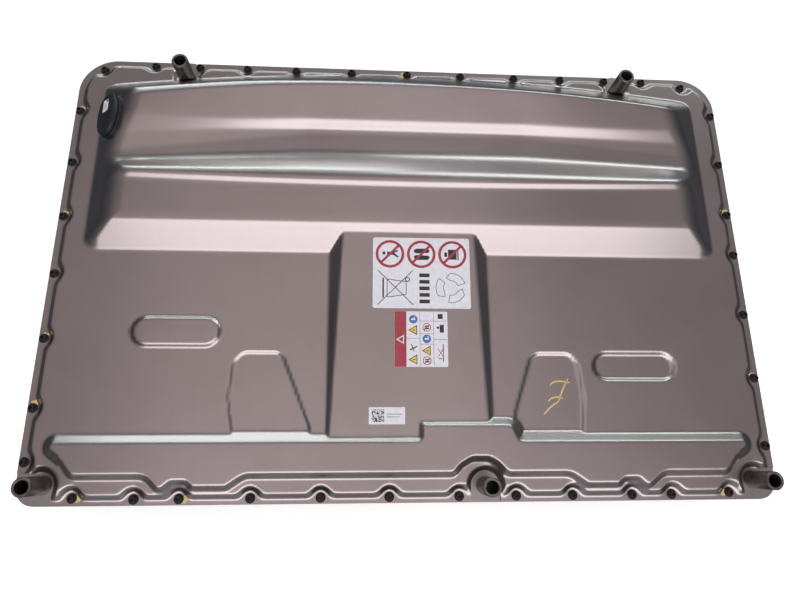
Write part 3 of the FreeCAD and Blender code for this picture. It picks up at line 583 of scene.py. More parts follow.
# ---- screws and sleeves -------------------------------------------------------------------
def add_screw(solid, x, y, turn):
    """Flange screw: a tapered washer under a hexagon with a rounded crown and a lobed socket."""
    washer = [(2.9, -19.5), (2.9, 0), (6.3, 0), (6.5, 0.35), (6.5, 0.8), (6.2, 1.15), (5.0, 1.7), (3.9, 2.0)]
    solid.lathe(washer, (x, y, FLANGE_Z), 28)
    steps = 36
    angles = full_turn(steps)
    points = []

    def add_ring(radii, z):
        for a, radius in zip(angles, radii):
            points.append((*polar(x, y, radius, a + turn), FLANGE_Z + z))

    flats = [4.0 / math.cos((a + math.pi / 6) % (math.pi / 3) - math.pi / 6) for a in angles]
    crown = ((0.90, 1.0, 1.0), (1.0, 1.3, 1.0), (1.0, 4.6, 1.0), (0.94, 5.3, 0.55), (0.80, 5.85, 0.0))
    for scale, z, hexagon in crown:
        add_ring([scale * (six * hexagon + 4.3 * (1 - hexagon)) for six in flats], z)
    add_ring([2.7] * steps, 6.0)
    for radius, z in ((2.3, 5.8), (2.1, 3.6)):
        add_ring([radius * (1 + 0.10 * math.cos(6 * a)) for a in angles], z)
    solid.loft(points, steps)


def build_screws(material):
    """The cover's flange screws, each turned by chance as it was tightened."""
    turns = random.Random(6)
    for node, places in SCREWS.items():
        solid = Solid()
        for x, y in places:
            add_screw(solid, x, y, turns.uniform(0, math.pi / 3))
        link(node.replace("cover_screws", "flange_screws"), solid.mesh(node), "cover", [material], [node])


def build_sleeves(material):
    """Turned tubes with a chamfered mouth and fine tool grooves down the outside."""
    for node in SLEEVE_NODES:
        x, y, _ = middle(node)
        low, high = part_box(node)
        bottom, top = low.z / MM, high.z / MM
        outer, bore = 12.0, 8.25
        profile = [(bore, bottom + 0.6), (bore + 0.6, bottom), (outer - 0.8, bottom), (outer, bottom + 0.8)]
        z = bottom + 6
        while z < top - 5:
            profile += [(outer, z), (outer - 0.07, z + 0.35), (outer, z + 0.7)]
            z += 2.4
        profile += [(outer, top - 1.1), (outer - 0.3, top - 0.5), (outer - 0.9, top), (bore + 0.9, top),
                    (bore + 0.25, top - 0.35), (bore, top - 1.0)]
        solid = Solid()
        solid.lathe(profile, (x, y, 0), 64, joined=True)
        link(node.replace("sleeve", "spacer_tube"), solid.mesh(node, 25), "pack", [material], [node])


# ---- vent ---------------------------------------------------------------------------------
def vent_place(point):
    """From the vent's own axes, with its base on the hump's end wall, to the frame."""
    foot_x = -441.0
    foot_z = FLANGE_Z + PLATEAU + (HUMP_HALF + foot_x) * HUMP_END_SLOPE
    foot_y = middle("vent_cap").y
    turned = Matrix.Rotation(-math.atan(HUMP_END_SLOPE), 3, "Y") @ Vector(point)
    return (turned.x + foot_x, turned.y + foot_y, turned.z + foot_z)


OVAL_STEPS = 72
OVAL_POWER = 2.35   # 2 would be an ellipse


def oval(half_long, half_short):
    """A slightly squared oval, long along the vent's Y."""
    points = []
    for a in full_turn(OVAL_STEPS):
        c, s = (math.copysign(abs(t) ** (2 / OVAL_POWER), t) for t in (math.cos(a), math.sin(a)))
        points.append((half_short * c, half_long * s))
    return points


def oval_stack(solid, levels):
    """Closed form through ovals (half length, half width, height)."""
    points = []
    for half_long, half_short, w in levels:
        points += [vent_place((u, v, w)) for u, v in oval(half_long, half_short)]
    solid.loft(points, OVAL_STEPS)


def build_vent(plastic, film, ink):
    """Splash cap over a base plate, with two fixing bosses, ribs and a small sticker."""
    base = Solid()
    oval_stack(base, [(33, 21, -4.4), (34.6, 22.6, 0), (34.8, 22.8, 2.8), (34, 22, 3.6), (30, 18, 3.8)])
    link("vent_base", base.mesh("vent_base"), "cover", [plastic], ["vent_housing"])
    cap = Solid()
    oval_stack(cap, [(31.6, 20.0, 3.7), (32.4, 20.8, 4.4), (33, 21.4, 5.2), (33, 21.4, 8.6),
                     (32.2, 20.6, 10.0), (30.4, 18.8, 10.8), (27, 15.4, 11.0)])
    for side in (-1, 1):
        cap.ring(circle(3, 23 * side, 3.6, 28), circle(3, 23 * side, 2.4, 28), 10.8, 0.7, vent_place)
    for k in range(-4, 5):
        low = 2.4 * k - 6
        rib = rounded_rectangle(1, 13 - 0.1 * k * k, low - 0.45, low + 0.45, 0.4)
        cap.prism(rib, 10.8, 0.5, vent_place)
    link("vent_splash_cap", cap.mesh("vent_cap"), "cover", [plastic], ["vent_cap"])
    sticker = Solid()
    sticker.prism(rounded_rectangle(-7, 5, 3, 23, 0.6), 10.9, 0.22, vent_place)
    for k in range(3):
        left = -5 + 2.8 * k
        sticker.prism(rounded_rectangle(left, left + 1.1, 7, 18, 0.2), 11.1, 0.05, vent_place, 1)
    link("vent_sticker", sticker.mesh("vent_sticker"), "cover", [film, ink], ())


# ---- labels -------------------------------------------------------------------------------
CARD = 0.22   # thickness of a label
INK = 0.05   # how far print stands proud of it
BITE = 0.02   # how deep print sits in the card
PAPER, RED, DARK, YELLOW, BLUE = range(5)


class Label:
    """A card on the tunnel's sloping top, with its print, in (u, v, w) from its front left corner."""

    def __init__(self, node, corner):
        low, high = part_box(node)
        self.node = node
        self.low = [c / MM for c in low]
        self.rise = math.atan(TUNNEL_SLOPE)
        self.width = (high.x - low.x) / MM
        self.length = (high.y - low.y) / MM / math.cos(self.rise) - 0.3
        self.solid = Solid()
        card = rounded_rectangle(0, self.width, 0, self.length, corner)
        self.solid.prism(card, 0, CARD, self.place, PAPER)

    def place(self, point):
        u, v, w = point
        x0, y0, z0 = self.low
        slope, level = math.sin(self.rise), math.cos(self.rise)
        return (x0 + u, y0 + v * level - w * slope + 0.3 * slope, z0 + v * slope + w * level)

    def ink(self, outline, finish=DARK):
        """Print on the card."""
        self.solid.prism(outline, CARD - BITE, INK, self.place, finish)

    def over(self, outline, finish, extra=BITE):
        """Print on top of other print."""
        self.solid.prism(outline, CARD, INK + extra, self.place, finish)

    def lines(self, strokes, finish=DARK):
        """Straight strokes (from u, from v, to u, to v, width)."""
        for stroke in strokes:
            self.ink(bar(*stroke), finish)

    def prohibition(self, cx, cy, radius, glyph):
        """A red ring and slash over a plain dark shape."""
        for shape in glyph:
            self.ink([(cx + u * radius, cy + v * radius) for u, v in shape])
        base, height = CARD - BITE, INK + 0.03
        reach = radius * 0.62
        slash = bar(cx - reach, cy - reach, cx + reach, cy + reach, radius * 0.17)
        self.solid.prism(slash, base, height, self.place, RED)
        self.solid.ring(circle(cx, cy, radius, 48), circle(cx, cy, radius * 0.81, 48), base, height,
                        self.place, RED)

    def crossed_bin(self, cx, cy, size):
        """A plain container lying on its side, struck through by a cross."""
        half = size / 2
        body = [(-0.42, -0.5), (-0.30, -0.5), (0.55, -0.36), (0.55, 0.30), (-0.30, 0.42), (-0.42, 0.42)]
        strokes = [(*a, *b, 1.0) for a, b in zip(body, body[1:] + body[:1])]
        strokes.append((-0.62, -0.55, -0.62, 0.5, 2.2))
        strokes += [(-0.9, -0.9 * s, 0.9, 0.9 * s, 1.1) for s in (-1, 1)]
        self.lines([(cx + au * half, cy + av * half, cx + bu * half, cy + bv * half, width)
                    for au, av, bu, bv, width in strokes])
        wheel = (cx + 0.62 * half, cy + 0.42 * half)
        self.solid.ring(circle(*wheel, 3.4), circle(*wheel, 2.2), CARD - BITE, INK, self.place, DARK)

    def arrow_loop(self, cx, cy, radius):
        """Three outlined arrows that chase each other round a circle."""
        for k in range(3):
            start = 120 * k + 20
            turns = [(1, start + 12 * i) for i in range(7)]
            turns.append((0.74, start + 96))
            turns += [(0.5, start + 12 * i) for i in range(6, -1, -1)]
            outline = [polar(cx, cy, radius * scale, math.radians(a)) for scale, a in turns]
            self.lines([(*a, *b, 0.8) for a, b in zip(outline, outline[1:] + outline[:1])])

    def link(self, name, materials):
        link(name, self.solid.mesh(self.node), "cover", materials, [self.node])


# Plain shapes for the rings, in parts of the ring's radius.
PERSON = [[(-0.55, 0.05), (-0.42, 0.20), (-0.28, 0.05), (-0.42, -0.10)],
          [(-0.20, -0.12), (0.25, -0.05), (0.25, 0.14), (-0.20, 0.16)],
          [(0.20, -0.05), (0.55, -0.28), (0.60, -0.18), (0.28, 0.08)],
          [(0.20, 0.04), (0.58, 0.20), (0.54, 0.30), (0.18, 0.14)]]
SOLES = [[(-0.5, 0.12), (-0.3, 0.06), (0.5, 0.10), (0.6, 0.26), (0.45, 0.42), (-0.3, 0.40), (-0.52, 0.30)],
         [(-0.5, -0.30), (-0.3, -0.42), (0.45, -0.40), (0.6, -0.24), (0.5, -0.10), (-0.3, -0.06),
          (-0.52, -0.12)]]
CAN = [[(-0.30, -0.36), (0.30, -0.36), (0.30, 0.36), (-0.30, 0.36)],
       [(-0.56, -0.16), (-0.36, -0.16), (-0.36, 0.16), (-0.56, 0.16)],
       [(0.36, -0.40), (0.44, -0.40), (0.44, 0.34), (0.36, 0.34)]]


def build_handling_label(paper, red, dark):
    """White label: three prohibition rings over a row of plain symbols."""
    label = Label("label_handling", 3)
    width, length = label.width, label.length
    for k, glyph in enumerate((PERSON, SOLES, CAN)):
        label.prohibition(width * (0.175 + 0.323 * k), length * 0.765, width * 0.148, glyph)
    label.crossed_bin(width * 0.23, length * 0.29, width * 0.40)
    for k in range(5):
        low = length * (0.07 + 0.092 * k)
        label.ink(rounded_rectangle(width * 0.475, width * 0.58, low, low + length * 0.052, 0.5))
    label.arrow_loop(width * 0.80, length * 0.29, width * 0.155)
    label.link("handling_label", [paper, red, dark])


def triangle(cx, cy, size):
    """A triangle that points to the left."""
    return [polar(cx, cy, size, math.radians(180 + 120 * k)) for k in range(3)]


def build_hazard_label(paper, red, dark, yellow, blue):
    """Narrow label: a red strip beside small tiles of triangles, discs and rings."""
    label = Label("label_hazard", 1.5)
    width, length = label.width, label.length
    strip = width * 0.22
    label.ink(rounded_rectangle(0.1, strip, 0.1, length - 0.1, 1.2), RED)
    mark = (strip * 0.56, length * 0.49)
    label.solid.ring(triangle(*mark, 7.5), triangle(*mark, 4.6), CARD, INK + BITE, label.place, PAPER)
    columns = (strip + 0.6, width * 0.475, width * 0.735, width - 0.6)
    label.lines([(x, 1, x, length - 1, 0.45) for x in columns[1:3]])
    for column, heights in enumerate(((0.51,), (0.405, 0.595, 0.825), (0.49, 0.825))):
        label.lines([(columns[column], length * h, columns[column + 1], length * h, 0.45) for h in heights])

    def at(column, h):
        return (columns[column] + columns[column + 1]) / 2, length * h

    for cx, cy in (at(0, 0.13), at(0, 0.66), at(1, 0.29)):
        label.ink(triangle(cx + 1, cy, 8.2))
        label.over(triangle(cx + 1, cy, 6.0), YELLOW)
        label.over(bar(cx - 1.5, cy, cx + 2.6, cy, 1.0), DARK, INK)
    for cx, cy in (at(0, 0.855), at(1, 0.50)):
        label.ink(circle(cx, cy, 6.0, 28), BLUE)
        label.over(rounded_rectangle(cx - 3, cx + 3, cy - 1.2, cy + 1.2, 0.6), PAPER)
        label.over(circle(cx + 1.5, cy + 2.4, 1.1, 14), PAPER)
    for place in (at(1, 0.11), at(1, 0.71)):
        label.prohibition(*place, 6.0, SOLES)
    cx, cy = at(0, 0.34)
    label.lines([(cx - 5, cy - 3, cx + 5, cy + 2, 1.6), (cx - 3, cy + 5, cx + 1, cy - 5, 1.2)])
    cx, cy = at(2, 0.68)
    label.ink(rounded_rectangle(cx - 1, cx + 5, cy - 5, cy + 6, 1))
    label.ink(circle(cx - 3.5, cy + 2, 1.8, 18))
    cx, cy = at(2, 0.25)
    label.lines([(cx + 3.5, cy - 12, cx + 3.5, cy + 12, 1.1), (cx - 3.5, cy - 8, cx + 2, cy - 8, 0.9)])
    label.lines([(cx - 4, cy - 6 * s, cx + 4, cy + 6 * s, 0.9) for s in (-1, 1)], RED)
    cx, cy = at(2, 0.91)
    label.ink(rounded_rectangle(cx - 3.5, cx + 3.5, cy - 3.5, cy + 3.5, 0.4))
    label.link("hazard_label", [paper, red, dark, yellow, blue])


def build_code_label(paper, dark, grey):
    """Small label: a block of random dots, which says nothing, and two plain bars."""
    label = Label("label_code", 1.2)
    width, length = label.width, label.length
    dots = random.Random(11)
    count = 18                  # dots along each side
    side = length * 0.74
    x0, y0 = 4.0, (length - side) / 2
    pitch = side / count
    for row in range(count):
        run = 0
        low = y0 + row * pitch
        high = low + pitch * 0.96
        for column in range(count + 1):
            if column < count and dots.random() < 0.52:
                run += 1
                continue
            if run:
                right = x0 + column * pitch
                left = right - run * pitch
                label.ink([(left, low), (right, low), (right, high), (left, high)], 1)
            run = 0
    for k, reach in ((0, 0.86), (1, 0.90)):
        low = length * (0.40 + 0.16 * k)
        label.ink(rounded_rectangle(width * 0.50, width * reach, low, low + 1.5, 0.3), 2)
    label.link("code_label", [paper, dark, grey])


# ---- paint marks --------------------------------------------------------------------------
def draped(field, solid, outline, thickness):
    """A thin patch of paint that follows the cover; the outline is a fan round its centre."""
    cx = sum(p[0] for p in outline) / len(outline)
    cd = sum(p[1] for p in outline) / len(outline)
    rings = [1.0, 0.9, 0.62, 0.3]
    lift = [0.02, thickness * 0.8, thickness, thickness]
    xs, ds, ws = [], [], []
    for scale, w in zip(rings, lift):
        xs += [cx + (x - cx) * scale for x, _ in outline]
        ds += [cd + (d - cd) * scale for _, d in outline]
        ws += [w] * len(outline)
    zs = field.height(np.array(xs), np.array(ds)) + np.array(ws) + FLANGE_Z
    points = [(x, d + FRONT_ROW, z) for x, d, z in zip(xs, ds, zs)]
    solid.loft(points, len(outline))


def blob(cx, cd, radius, chance, squeeze=1.0):
    """A ragged round outline."""
    outline = []
    phases = [chance.uniform(0, 6.28) for _ in range(4)]
    for a in full_turn(26):
        wobble = 1 + sum(0.10 * math.sin((k + 2) * a + p) for k, p in enumerate(phases))
        outline.append((cx + radius * wobble * math.cos(a), cd + radius * squeeze * wobble * math.sin(a)))
    return outline


def build_paint(field, paint):
    """Dabs of yellow torque-check paint beside some screws, and a brushed tick on the sheet."""
    chance = random.Random(4)
    beside = {"cover_screws_left": ((6, 5), (2, 4), (1, 6), (4, 5)),
              "cover_screws_right": ((4, 6), (1, 4)),
              "cover_screws_rear": ((6, 2),),
              "cover_screws_front": ((0, 6), (2, 7), (11, -6))}
    solid = Solid()
    for node, marks in beside.items():
        rows = sorted(SCREWS[node], key=lambda p: p[0] if "front" in node or "rear" in node else p[1])
        for number, offset in marks:
            x, y = rows[number]
            if "rear" in node:
                place = (x - 6, behind(y) + 1)
            elif "front" in node:
                place = (x + offset, behind(y) - 1)
            else:
                place = (x + (1 if x < 0 else -1), behind(y) + offset)
            draped(field, solid, blob(*place, 4.6, chance, 0.9), 0.12)
    link("torque_paint", solid.mesh("torque_paint"), "cover", [paint], ())
    tick = Solid()
    strokes = (((186, 106), (196, 116), (208, 124)), ((208, 124), (214, 138), (224, 156)),
               ((198, 146), (207, 152), (226, 150)), ((193, 124), (203, 130), (215, 128)))
    for points in strokes:
        brush_stroke(field, tick, points, 2.3)
    link("paint_tick", tick.mesh("paint_tick"), "cover", [paint], ())


def brush_stroke(field, solid, points, width):
    """A ribbon of paint along a gentle curve through three points."""
    steps = 14
    rows = []
    for i in range(steps + 1):
        t = i / steps
        a, b, c = (Vector(p) for p in points)
        here = a * (1 - t) ** 2 + (b * 2 - (a + c) / 2) * 2 * t * (1 - t) + c * t ** 2
        run = (b * 2 - (a + c) / 2 - a) * (1 - t) + (c - (b * 2 - (a + c) / 2)) * t
        side = Vector((-run.y, run.x)).normalized()
        half = width / 2 * (0.35 + 0.65 * math.sin(math.pi * min(max(t, 0.04), 0.96)) ** 0.4)
        rows.append([here + side * half * s for s in (-1, -0.5, 0.5, 1)])
    xs = np.array([p.x for row in rows for p in row])
    ds = np.array([p.y for row in rows for p in row])
    ground = field.height(xs, ds) + FLANGE_Z
    lift = np.array([0.02, 0.12, 0.12, 0.02] * (steps + 1))
    top = [(x, d + FRONT_ROW, z) for x, d, z in zip(xs, ds, ground + lift)]
    low = [(x, d + FRONT_ROW, z) for x, d, z in zip(xs, ds, ground - 0.02)]
    count = len(top)
    faces = []
    for r in range(steps):
        for c in range(3):
            a = r * 4 + c
            faces.append((a, a + 1, a + 5, a + 4))
            faces.append((a + 4 + count, a + 5 + count, a + 1 + count, a + count))
        a = r * 4
        faces.append((a + 4, a + 4 + count, a + count, a))
        faces.append((a + 3, a + 3 + count, a + 7 + count, a + 7))
    for a, turned in ((0, False), (steps * 4, True)):
        end = (a, a + count, a + 3 + count, a + 3)
        faces.append(tuple(reversed(end)) if turned else end)
    solid.add(top + low, faces, 0, True)


# ---- materials ----------------------------------------------------------------------------
class Nodes:
    """Short calls for building a node tree; a material's coordinates are its object's, in metres."""

    def __init__(self, owner, coordinates="Object"):
        owner.use_nodes = True
        self.owner = owner
        self.tree = owner.node_tree
        self.shader = self.tree.nodes.get("Principled BSDF")
        self.where = self.add("TexCoord").outputs[coordinates]

    def add(self, kind, **inputs):
        """A new node with its inputs by name, with _ for a space."""
        node = self.tree.nodes.new("ShaderNode" + kind)
        for name, value in inputs.items():
            self.feed(node.inputs[name.replace("_", " ")], value)
        return node

    def feed(self, socket, value):
        """Links a socket to an input, or sets anything else as its value."""
        if isinstance(value, bpy.types.NodeSocket):
            self.tree.links.new(value, socket)
        else:
            socket.default_value = value

    def set(self, **values):
        """Sets or links sockets of the shader by name."""
        for name, value in values.items():
            self.feed(self.shader.inputs[name.replace("_", " ")], value)

    def noise(self, scale, detail=3.0, rough=0.55, stretch=None):
        where = self.where
        if stretch:
            where = self.add("Mapping", Scale=stretch, Vector=where).outputs["Vector"]
        return self.add("TexNoise", Scale=scale, Detail=detail, Roughness=rough, Vector=where).outputs["Fac"]

    def levels(self, value, low, high, out_low, out_high):
        node = self.add("MapRange", Value=value, From_Min=low, From_Max=high, To_Min=out_low, To_Max=out_high)
        return node.outputs["Result"]

    def product(self, a, b):
        node = self.add("Math")
        node.operation = "MULTIPLY"
        self.feed(node.inputs[0], a)
        self.feed(node.inputs[1], b)
        return node.outputs[0]

    def mix(self, factor, a, b):
        """Colour mix; a and b are colours or sockets."""
        node = self.add("Mix")
        node.data_type = "RGBA"
        for i, value in ((0, factor), (6, a), (7, b)):
            self.feed(node.inputs[i], (*value, 1) if isinstance(value, tuple) else value)
        return node.outputs[2]

    def bump(self, height, strength, distance=0.0003):
        node = self.add("Bump", Strength=strength, Distance=distance, Height=height)
        self.set(Normal=node.outputs["Normal"])

    def wear(self, inner, outer):
        """0 on flats and towards 1 on the outer corners of the mesh."""
        return self.levels(self.add("NewGeometry").outputs["Pointiness"], inner, outer, 0, 1)


def material_nodes(name):
    return Nodes(bpy.data.materials.new(name))


def cover_steel():
    """Zinc-coated sheet: warm grey, with the mill's faint lines from front to rear and faint stains."""
    n = material_nodes("cover_steel")
    n.set(Metallic=1.0)
    lines = n.noise(9, 4, 0.65, (60, 1.2, 1))
    grain = n.noise(400, 2, 0.5)
    cloud = n.noise(5, 4, 0.6)
    base = n.mix(n.levels(cloud, 0.35, 0.65, 0, 1), (0.585, 0.522, 0.515), (0.635, 0.577, 0.575))
    base = n.mix(n.levels(lines, 0.30, 0.75, 0, 0.14), base, (0.50, 0.455, 0.46))
    stain = n.levels(n.noise(13, 5, 0.7), 0.66, 0.78, 0, 0.30)
    base = n.mix(stain, base, (0.40, 0.33, 0.29))
    n.set(Base_Color=base, Roughness=n.levels(cloud, 0.3, 0.7, 0.275, 0.315))
    n.bump(grain, 0.03, 0.0002)
    return n.owner


def grained(name, colour, second, metallic, rough, scale, bump, stretch=None, rough_span=0.10, fine=6.0):
    """A finish with two tones, uneven gloss and a fine grain."""
    n = material_nodes(name)
    n.set(Metallic=metallic)
    tone = n.noise(scale, 4, 0.6, stretch)
    grain = n.noise(scale * fine, 3, 0.55, stretch)
    base = n.mix(n.levels(tone, 0.33, 0.67, 0, 1), colour, second)
    gloss = n.levels(grain, 0.3, 0.7, rough - rough_span / 2, rough + rough_span / 2)
    n.set(Base_Color=base, Roughness=gloss)
    n.bump(grain, bump)
    return n.owner


def worn(name, colour, bare, metallic, rough, scale, bump):
    """A coated finish whose outer corners are rubbed bare."""
    n = material_nodes(name)
    n.set(Metallic=metallic)
    tone = n.noise(scale, 4, 0.6)
    grain = n.noise(scale * 7, 3, 0.55)
    dark = tuple(c * 0.72 for c in colour)
    base = n.mix(n.levels(tone, 0.33, 0.67, 0, 1), dark, colour)
    rubbed = n.product(n.wear(0.53, 0.62), n.levels(grain, 0.35, 0.6, 0.1, 1.0))
    gloss = n.levels(tone, 0.3, 0.7, rough - 0.06, rough + 0.08)
    n.set(Base_Color=n.mix(rubbed, base, bare), Roughness=gloss)
    n.bump(grain, bump)
    return n.owner


def label_ink(name, colour, rough=0.42):
    """Printed film: the ink's tone and gloss vary a little with the paper under it."""
    pale = tuple(min(1, c * 1.12 + 0.01) for c in colour)
    return grained(name, colour, pale, 0.0, rough, 160, 0.05, rough_span=0.08)


# The plain finishes, by the record's slot: two tones, metallic, roughness, noise scale and bump,
# then the stretch of the noise where it has one.
GRAINED = {
    "seal_rubber": ((0.022, 0.022, 0.023), (0.035, 0.034, 0.034), 0, 0.62, 90, 0.25),
    "black_plastic": ((0.012, 0.013, 0.015), (0.020, 0.021, 0.024), 0, 0.40, 220, 0.25),
    "membrane": ((0.70, 0.71, 0.72), (0.78, 0.79, 0.80), 0, 0.75, 500, 0.2),
    "cold_plate": ((0.66, 0.67, 0.69), (0.74, 0.75, 0.77), 1, 0.34, 12, 0.12, (1, 30, 1)),
    "coolant_plastic": ((0.030, 0.031, 0.034), (0.045, 0.046, 0.05), 0, 0.46, 120, 0.2),
    "module_frame": ((0.60, 0.61, 0.63), (0.70, 0.71, 0.73), 1, 0.38, 30, 0.18, (1, 1, 12)),
    "copper": ((0.72, 0.36, 0.22), (0.82, 0.45, 0.30), 1, 0.30, 60, 0.15),
    "zinc_steel": ((0.56, 0.57, 0.60), (0.70, 0.70, 0.70), 1, 0.34, 120, 0.2),
    "armature_steel": ((0.42, 0.42, 0.43), (0.52, 0.52, 0.53), 1, 0.28, 90, 0.12),
    "contactor_shell": ((0.05, 0.05, 0.055), (0.075, 0.075, 0.08), 0, 0.5, 150, 0.2),
    "relay_plastic": ((0.10, 0.16, 0.26), (0.13, 0.20, 0.31), 0, 0.42, 150, 0.15),
    "fuse_ceramic": ((0.70, 0.67, 0.60), (0.80, 0.77, 0.70), 0, 0.30, 80, 0.1),
    "controller_case": ((0.30, 0.31, 0.32), (0.40, 0.41, 0.42), 1, 0.45, 70, 0.25),
    "orange_plastic": ((0.78, 0.20, 0.012), (0.86, 0.26, 0.02), 0, 0.42, 150, 0.18),
}


def make_finishes():
    """Every material that the record's slots name."""
    finishes = {name: grained(name, *values) for name, values in GRAINED.items()}
    finishes["cover_sheet"] = cover_steel()
    finishes["tray_casting"] = grained("tray_casting", (0.46, 0.43, 0.42), (0.56, 0.53, 0.52), 1, 0.42, 40,
                                       0.35, fine=12)
    finishes["sleeve_steel"] = worn("sleeve_steel", (0.27, 0.245, 0.235), (0.50, 0.46, 0.45), 1, 0.40, 160,
                                    0.30)
    finishes["black_screw"] = worn("black_screw", (0.018, 0.017, 0.018), (0.13, 0.12, 0.12), 0.6, 0.44, 300,
                                   0.15)
    finishes["label_film"] = label_ink("label_paper", (0.56, 0.56, 0.60))
    finishes["cell_can"] = cell_wrap()
    return finishes


def cell_wrap():
    """Cells in a dark blue insulating film with a faint sheen and small creases."""
    n = material_nodes("cell_wrap")
    n.set(Metallic=0.0, Coat_Weight=0.3, Coat_Roughness=0.2)
    crease = n.noise(70, 4, 0.7, (1, 1, 0.25))
    tone = n.noise(18, 3, 0.5)
    blue = n.mix(n.levels(tone, 0.3, 0.7, 0, 1), (0.018, 0.050, 0.13), (0.028, 0.075, 0.18))
    n.set(Base_Color=blue, Roughness=n.levels(crease, 0.3, 0.7, 0.30, 0.46))
    n.bump(crease, 0.3, 0.0004)
    return n.owner


def dress_cad_nodes(finishes):
    """Gives each CAD node that stays in view the finish that its record slot names."""
    for row in frame["record"]["subparts"]:
        node = frame["nodes"][row["node"]]
        for slot in node.material_slots:
            slot.material = finishes[row["material_slot"]]


# ---- studio -------------------------------------------------------------------------------
def build_floor():
    """A pale floor that glows evenly to the camera and to matt surfaces; in reflections it shows a painted
    dark reflection, lighter towards the front, so that the steel keeps its contrast.
    """
    mesh = bpy.data.meshes.new("floor")
    half = 6.0
    z = CAD_BOX[0].z - 0.0005
    corners = [(-half, -half, z), (half, -half, z), (half, half, z), (-half, half, z)]
    mesh.from_pydata(corners, [], [(0, 1, 2, 3)])
    floor = bpy.data.objects.new("floor", mesh)
    bpy.context.scene.collection.objects.link(floor)
    n = material_nodes("floor_paper")
    tone = n.noise(3, 3, 0.5)
    pale = n.mix(n.levels(tone, 0.3, 0.7, 0, 1), (0.90, 0.90, 0.90), (0.93, 0.93, 0.93))
    glossy = n.add("LightPath").outputs["Is Glossy Ray"]
    parts = n.add("SeparateXYZ", Vector=n.where)
    # painted reflection: reflected rays see the floor dark, lighter in front of the pack than under and
    # behind it
    painted_reflection = n.mix(n.levels(parts.outputs["Y"], -0.9, -0.3, 0, 1), (0.17, 0.175, 0.18), (0.05, 0.06, 0.07))
    n.set(Base_Color=n.mix(glossy, pale, painted_reflection), Roughness=0.9, Specular_IOR_Level=0.1)
    # the floor glows evenly to all but reflected rays, so it also lights the pack from below
    n.set(Emission_Color=(1.0, 1.0, 1.0, 1.0), Emission_Strength=n.levels(glossy, 0, 1, 0.30, 0.0))
    mesh.materials.append(n.owner)


def area_light(name, place, target, size, radiance, colour, glossy=True):
    """A rectangular softbox that looks at the target; radiance is how bright its face is."""
    light = bpy.data.lights.new(name, "AREA")
    light.shape = "RECTANGLE"
    light.size, light.size_y = size
    light.energy = radiance * math.pi * size[0] * size[1]
    light.color = colour
    lamp = bpy.data.objects.new(name, light)
    bpy.context.scene.collection.objects.link(lamp)
    lamp.location = place
    lamp.rotation_euler = (Vector(target) - Vector(place)).to_track_quat("-Z", "Y").to_euler()
    lamp.visible_glossy = glossy


def build_room():
    """A dim room that is lighter overhead than at the horizon, and a pale backdrop to the camera."""
    world = bpy.data.worlds.new("room")
    bpy.context.scene.world = world
    n = Nodes(world, "Generated")
    up = n.add("SeparateXYZ", Vector=n.where).outputs["Z"]
    fade = n.add("ValToRGB", Fac=up)
    fade.color_ramp.interpolation = "EASE"
    stops = fade.color_ramp.elements
    stops[0].color = (0.030, 0.036, 0.042, 1)
    stops[1].position = 0.95
    stops[1].color = (0.30, 0.258, 0.260, 1)
    stops.new(0.30).color = (0.060, 0.066, 0.072, 1)
    stops.new(0.78).color = (0.205, 0.183, 0.187, 1)
    seen = n.add("LightPath").outputs["Is Camera Ray"]
    backdrop = n.add("MixRGB", Fac=seen, Color1=fade.outputs["Color"], Color2=(0.85, 0.85, 0.85, 1))
    n.feed(n.tree.nodes["Background"].inputs["Color"], backdrop.outputs["Color"])


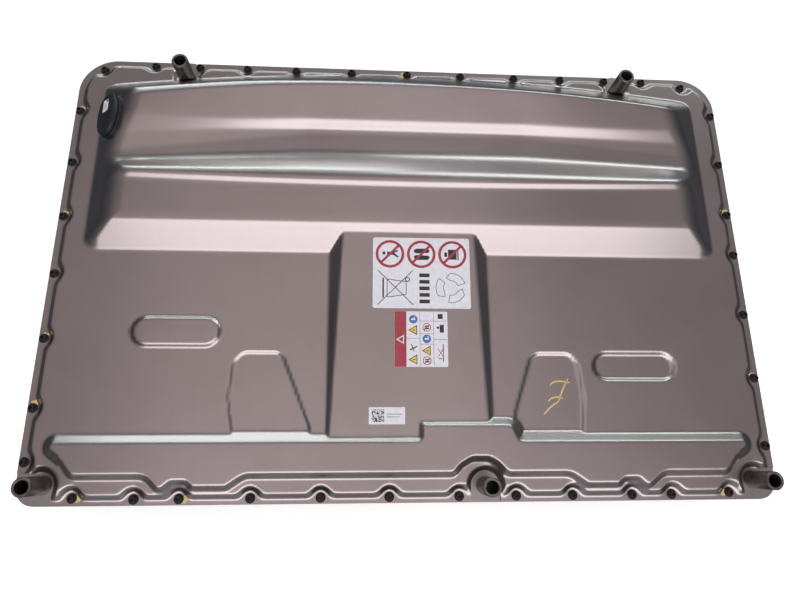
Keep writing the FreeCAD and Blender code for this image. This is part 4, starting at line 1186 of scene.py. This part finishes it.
def build_lights():
    """Broad softboxes: in front, overhead and low behind, and one that lights only matt surfaces."""
    centre = (0, 0, 0.12)
    area_light("front_softbox", (0.1, -1.95, 2.5), centre, (4.2, 2.0), 1.50, (1.0, 0.955, 0.98))
    area_light("overhead_panel", (-0.3, 0.5, 2.6), (-0.3, 0.5, 0), (2.2, 2.4), 0.18, (1.0, 0.87, 0.87))
    area_light("rear_high", (1.4, 3.0, 1.60), centre, (2.7, 0.7), 3.0, (0.88, 1.0, 1.0))
    area_light("rear_high_dim", (-1.3, 3.0, 1.60), centre, (2.7, 0.7), 0.55, (0.75, 0.96, 1.0))
    area_light("rear_low", (-0.85, 3.0, 0.70), centre, (2.2, 0.36), 4.3, (0.90, 1.0, 1.0))
    area_light("rear_low_dim", (1.9, 3.0, 0.5), centre, (2.8, 0.8), 0.10, (0.72, 0.95, 1.0))
    area_light("front_low", (0, -3.0, 0.45), centre, (5.0, 0.8), 0.30, (0.95, 0.97, 1.0))
    area_light("matt_fill", (0, 0, 3.2), (0, 0, 0), (4.0, 4.0), 1.75, (1.0, 1.0, 1.0), glossy=False)
    bpy.context.scene.view_settings.view_transform = "Standard"


def build_camera():
    """The camera stands nearly over the front edge and looks down and a little to the rear."""
    data = bpy.data.cameras.new("camera")
    data.sensor_width = 36
    data.lens = 25.79
    camera = bpy.data.objects.new("camera", data)
    bpy.context.scene.collection.objects.link(camera)
    camera.location = (-0.06186, -0.27362, 0.91873)
    camera.rotation_euler = Euler([math.radians(a) for a in (15.2928, -3.4739, -0.3287)], "XYZ")
    bpy.context.scene.camera = camera


def main():
    build_camera()
    build_room()
    build_lights()
    build_floor()
    finishes = make_finishes()
    dress_cad_nodes(finishes)
    paper = finishes["label_film"]
    red = label_ink("ink_red", (0.30, 0.020, 0.035))
    dark = label_ink("ink_dark", (0.018, 0.018, 0.022))
    grey = label_ink("ink_grey", (0.30, 0.30, 0.33))
    yellow = label_ink("ink_yellow", (0.62, 0.42, 0.05))
    blue = label_ink("ink_blue", (0.03, 0.12, 0.32))
    paint = label_ink("paint_yellow", (0.50, 0.37, 0.13), 0.5)
    field = HeightField()
    build_cover(field, finishes["cover_sheet"])
    build_screws(finishes["black_screw"])
    build_sleeves(finishes["sleeve_steel"])
    build_vent(finishes["black_plastic"], paper, grey)
    build_handling_label(paper, red, dark)
    build_hazard_label(paper, red, dark, yellow, blue)
    build_code_label(paper, dark, grey)
    build_paint(field, paint)


main()
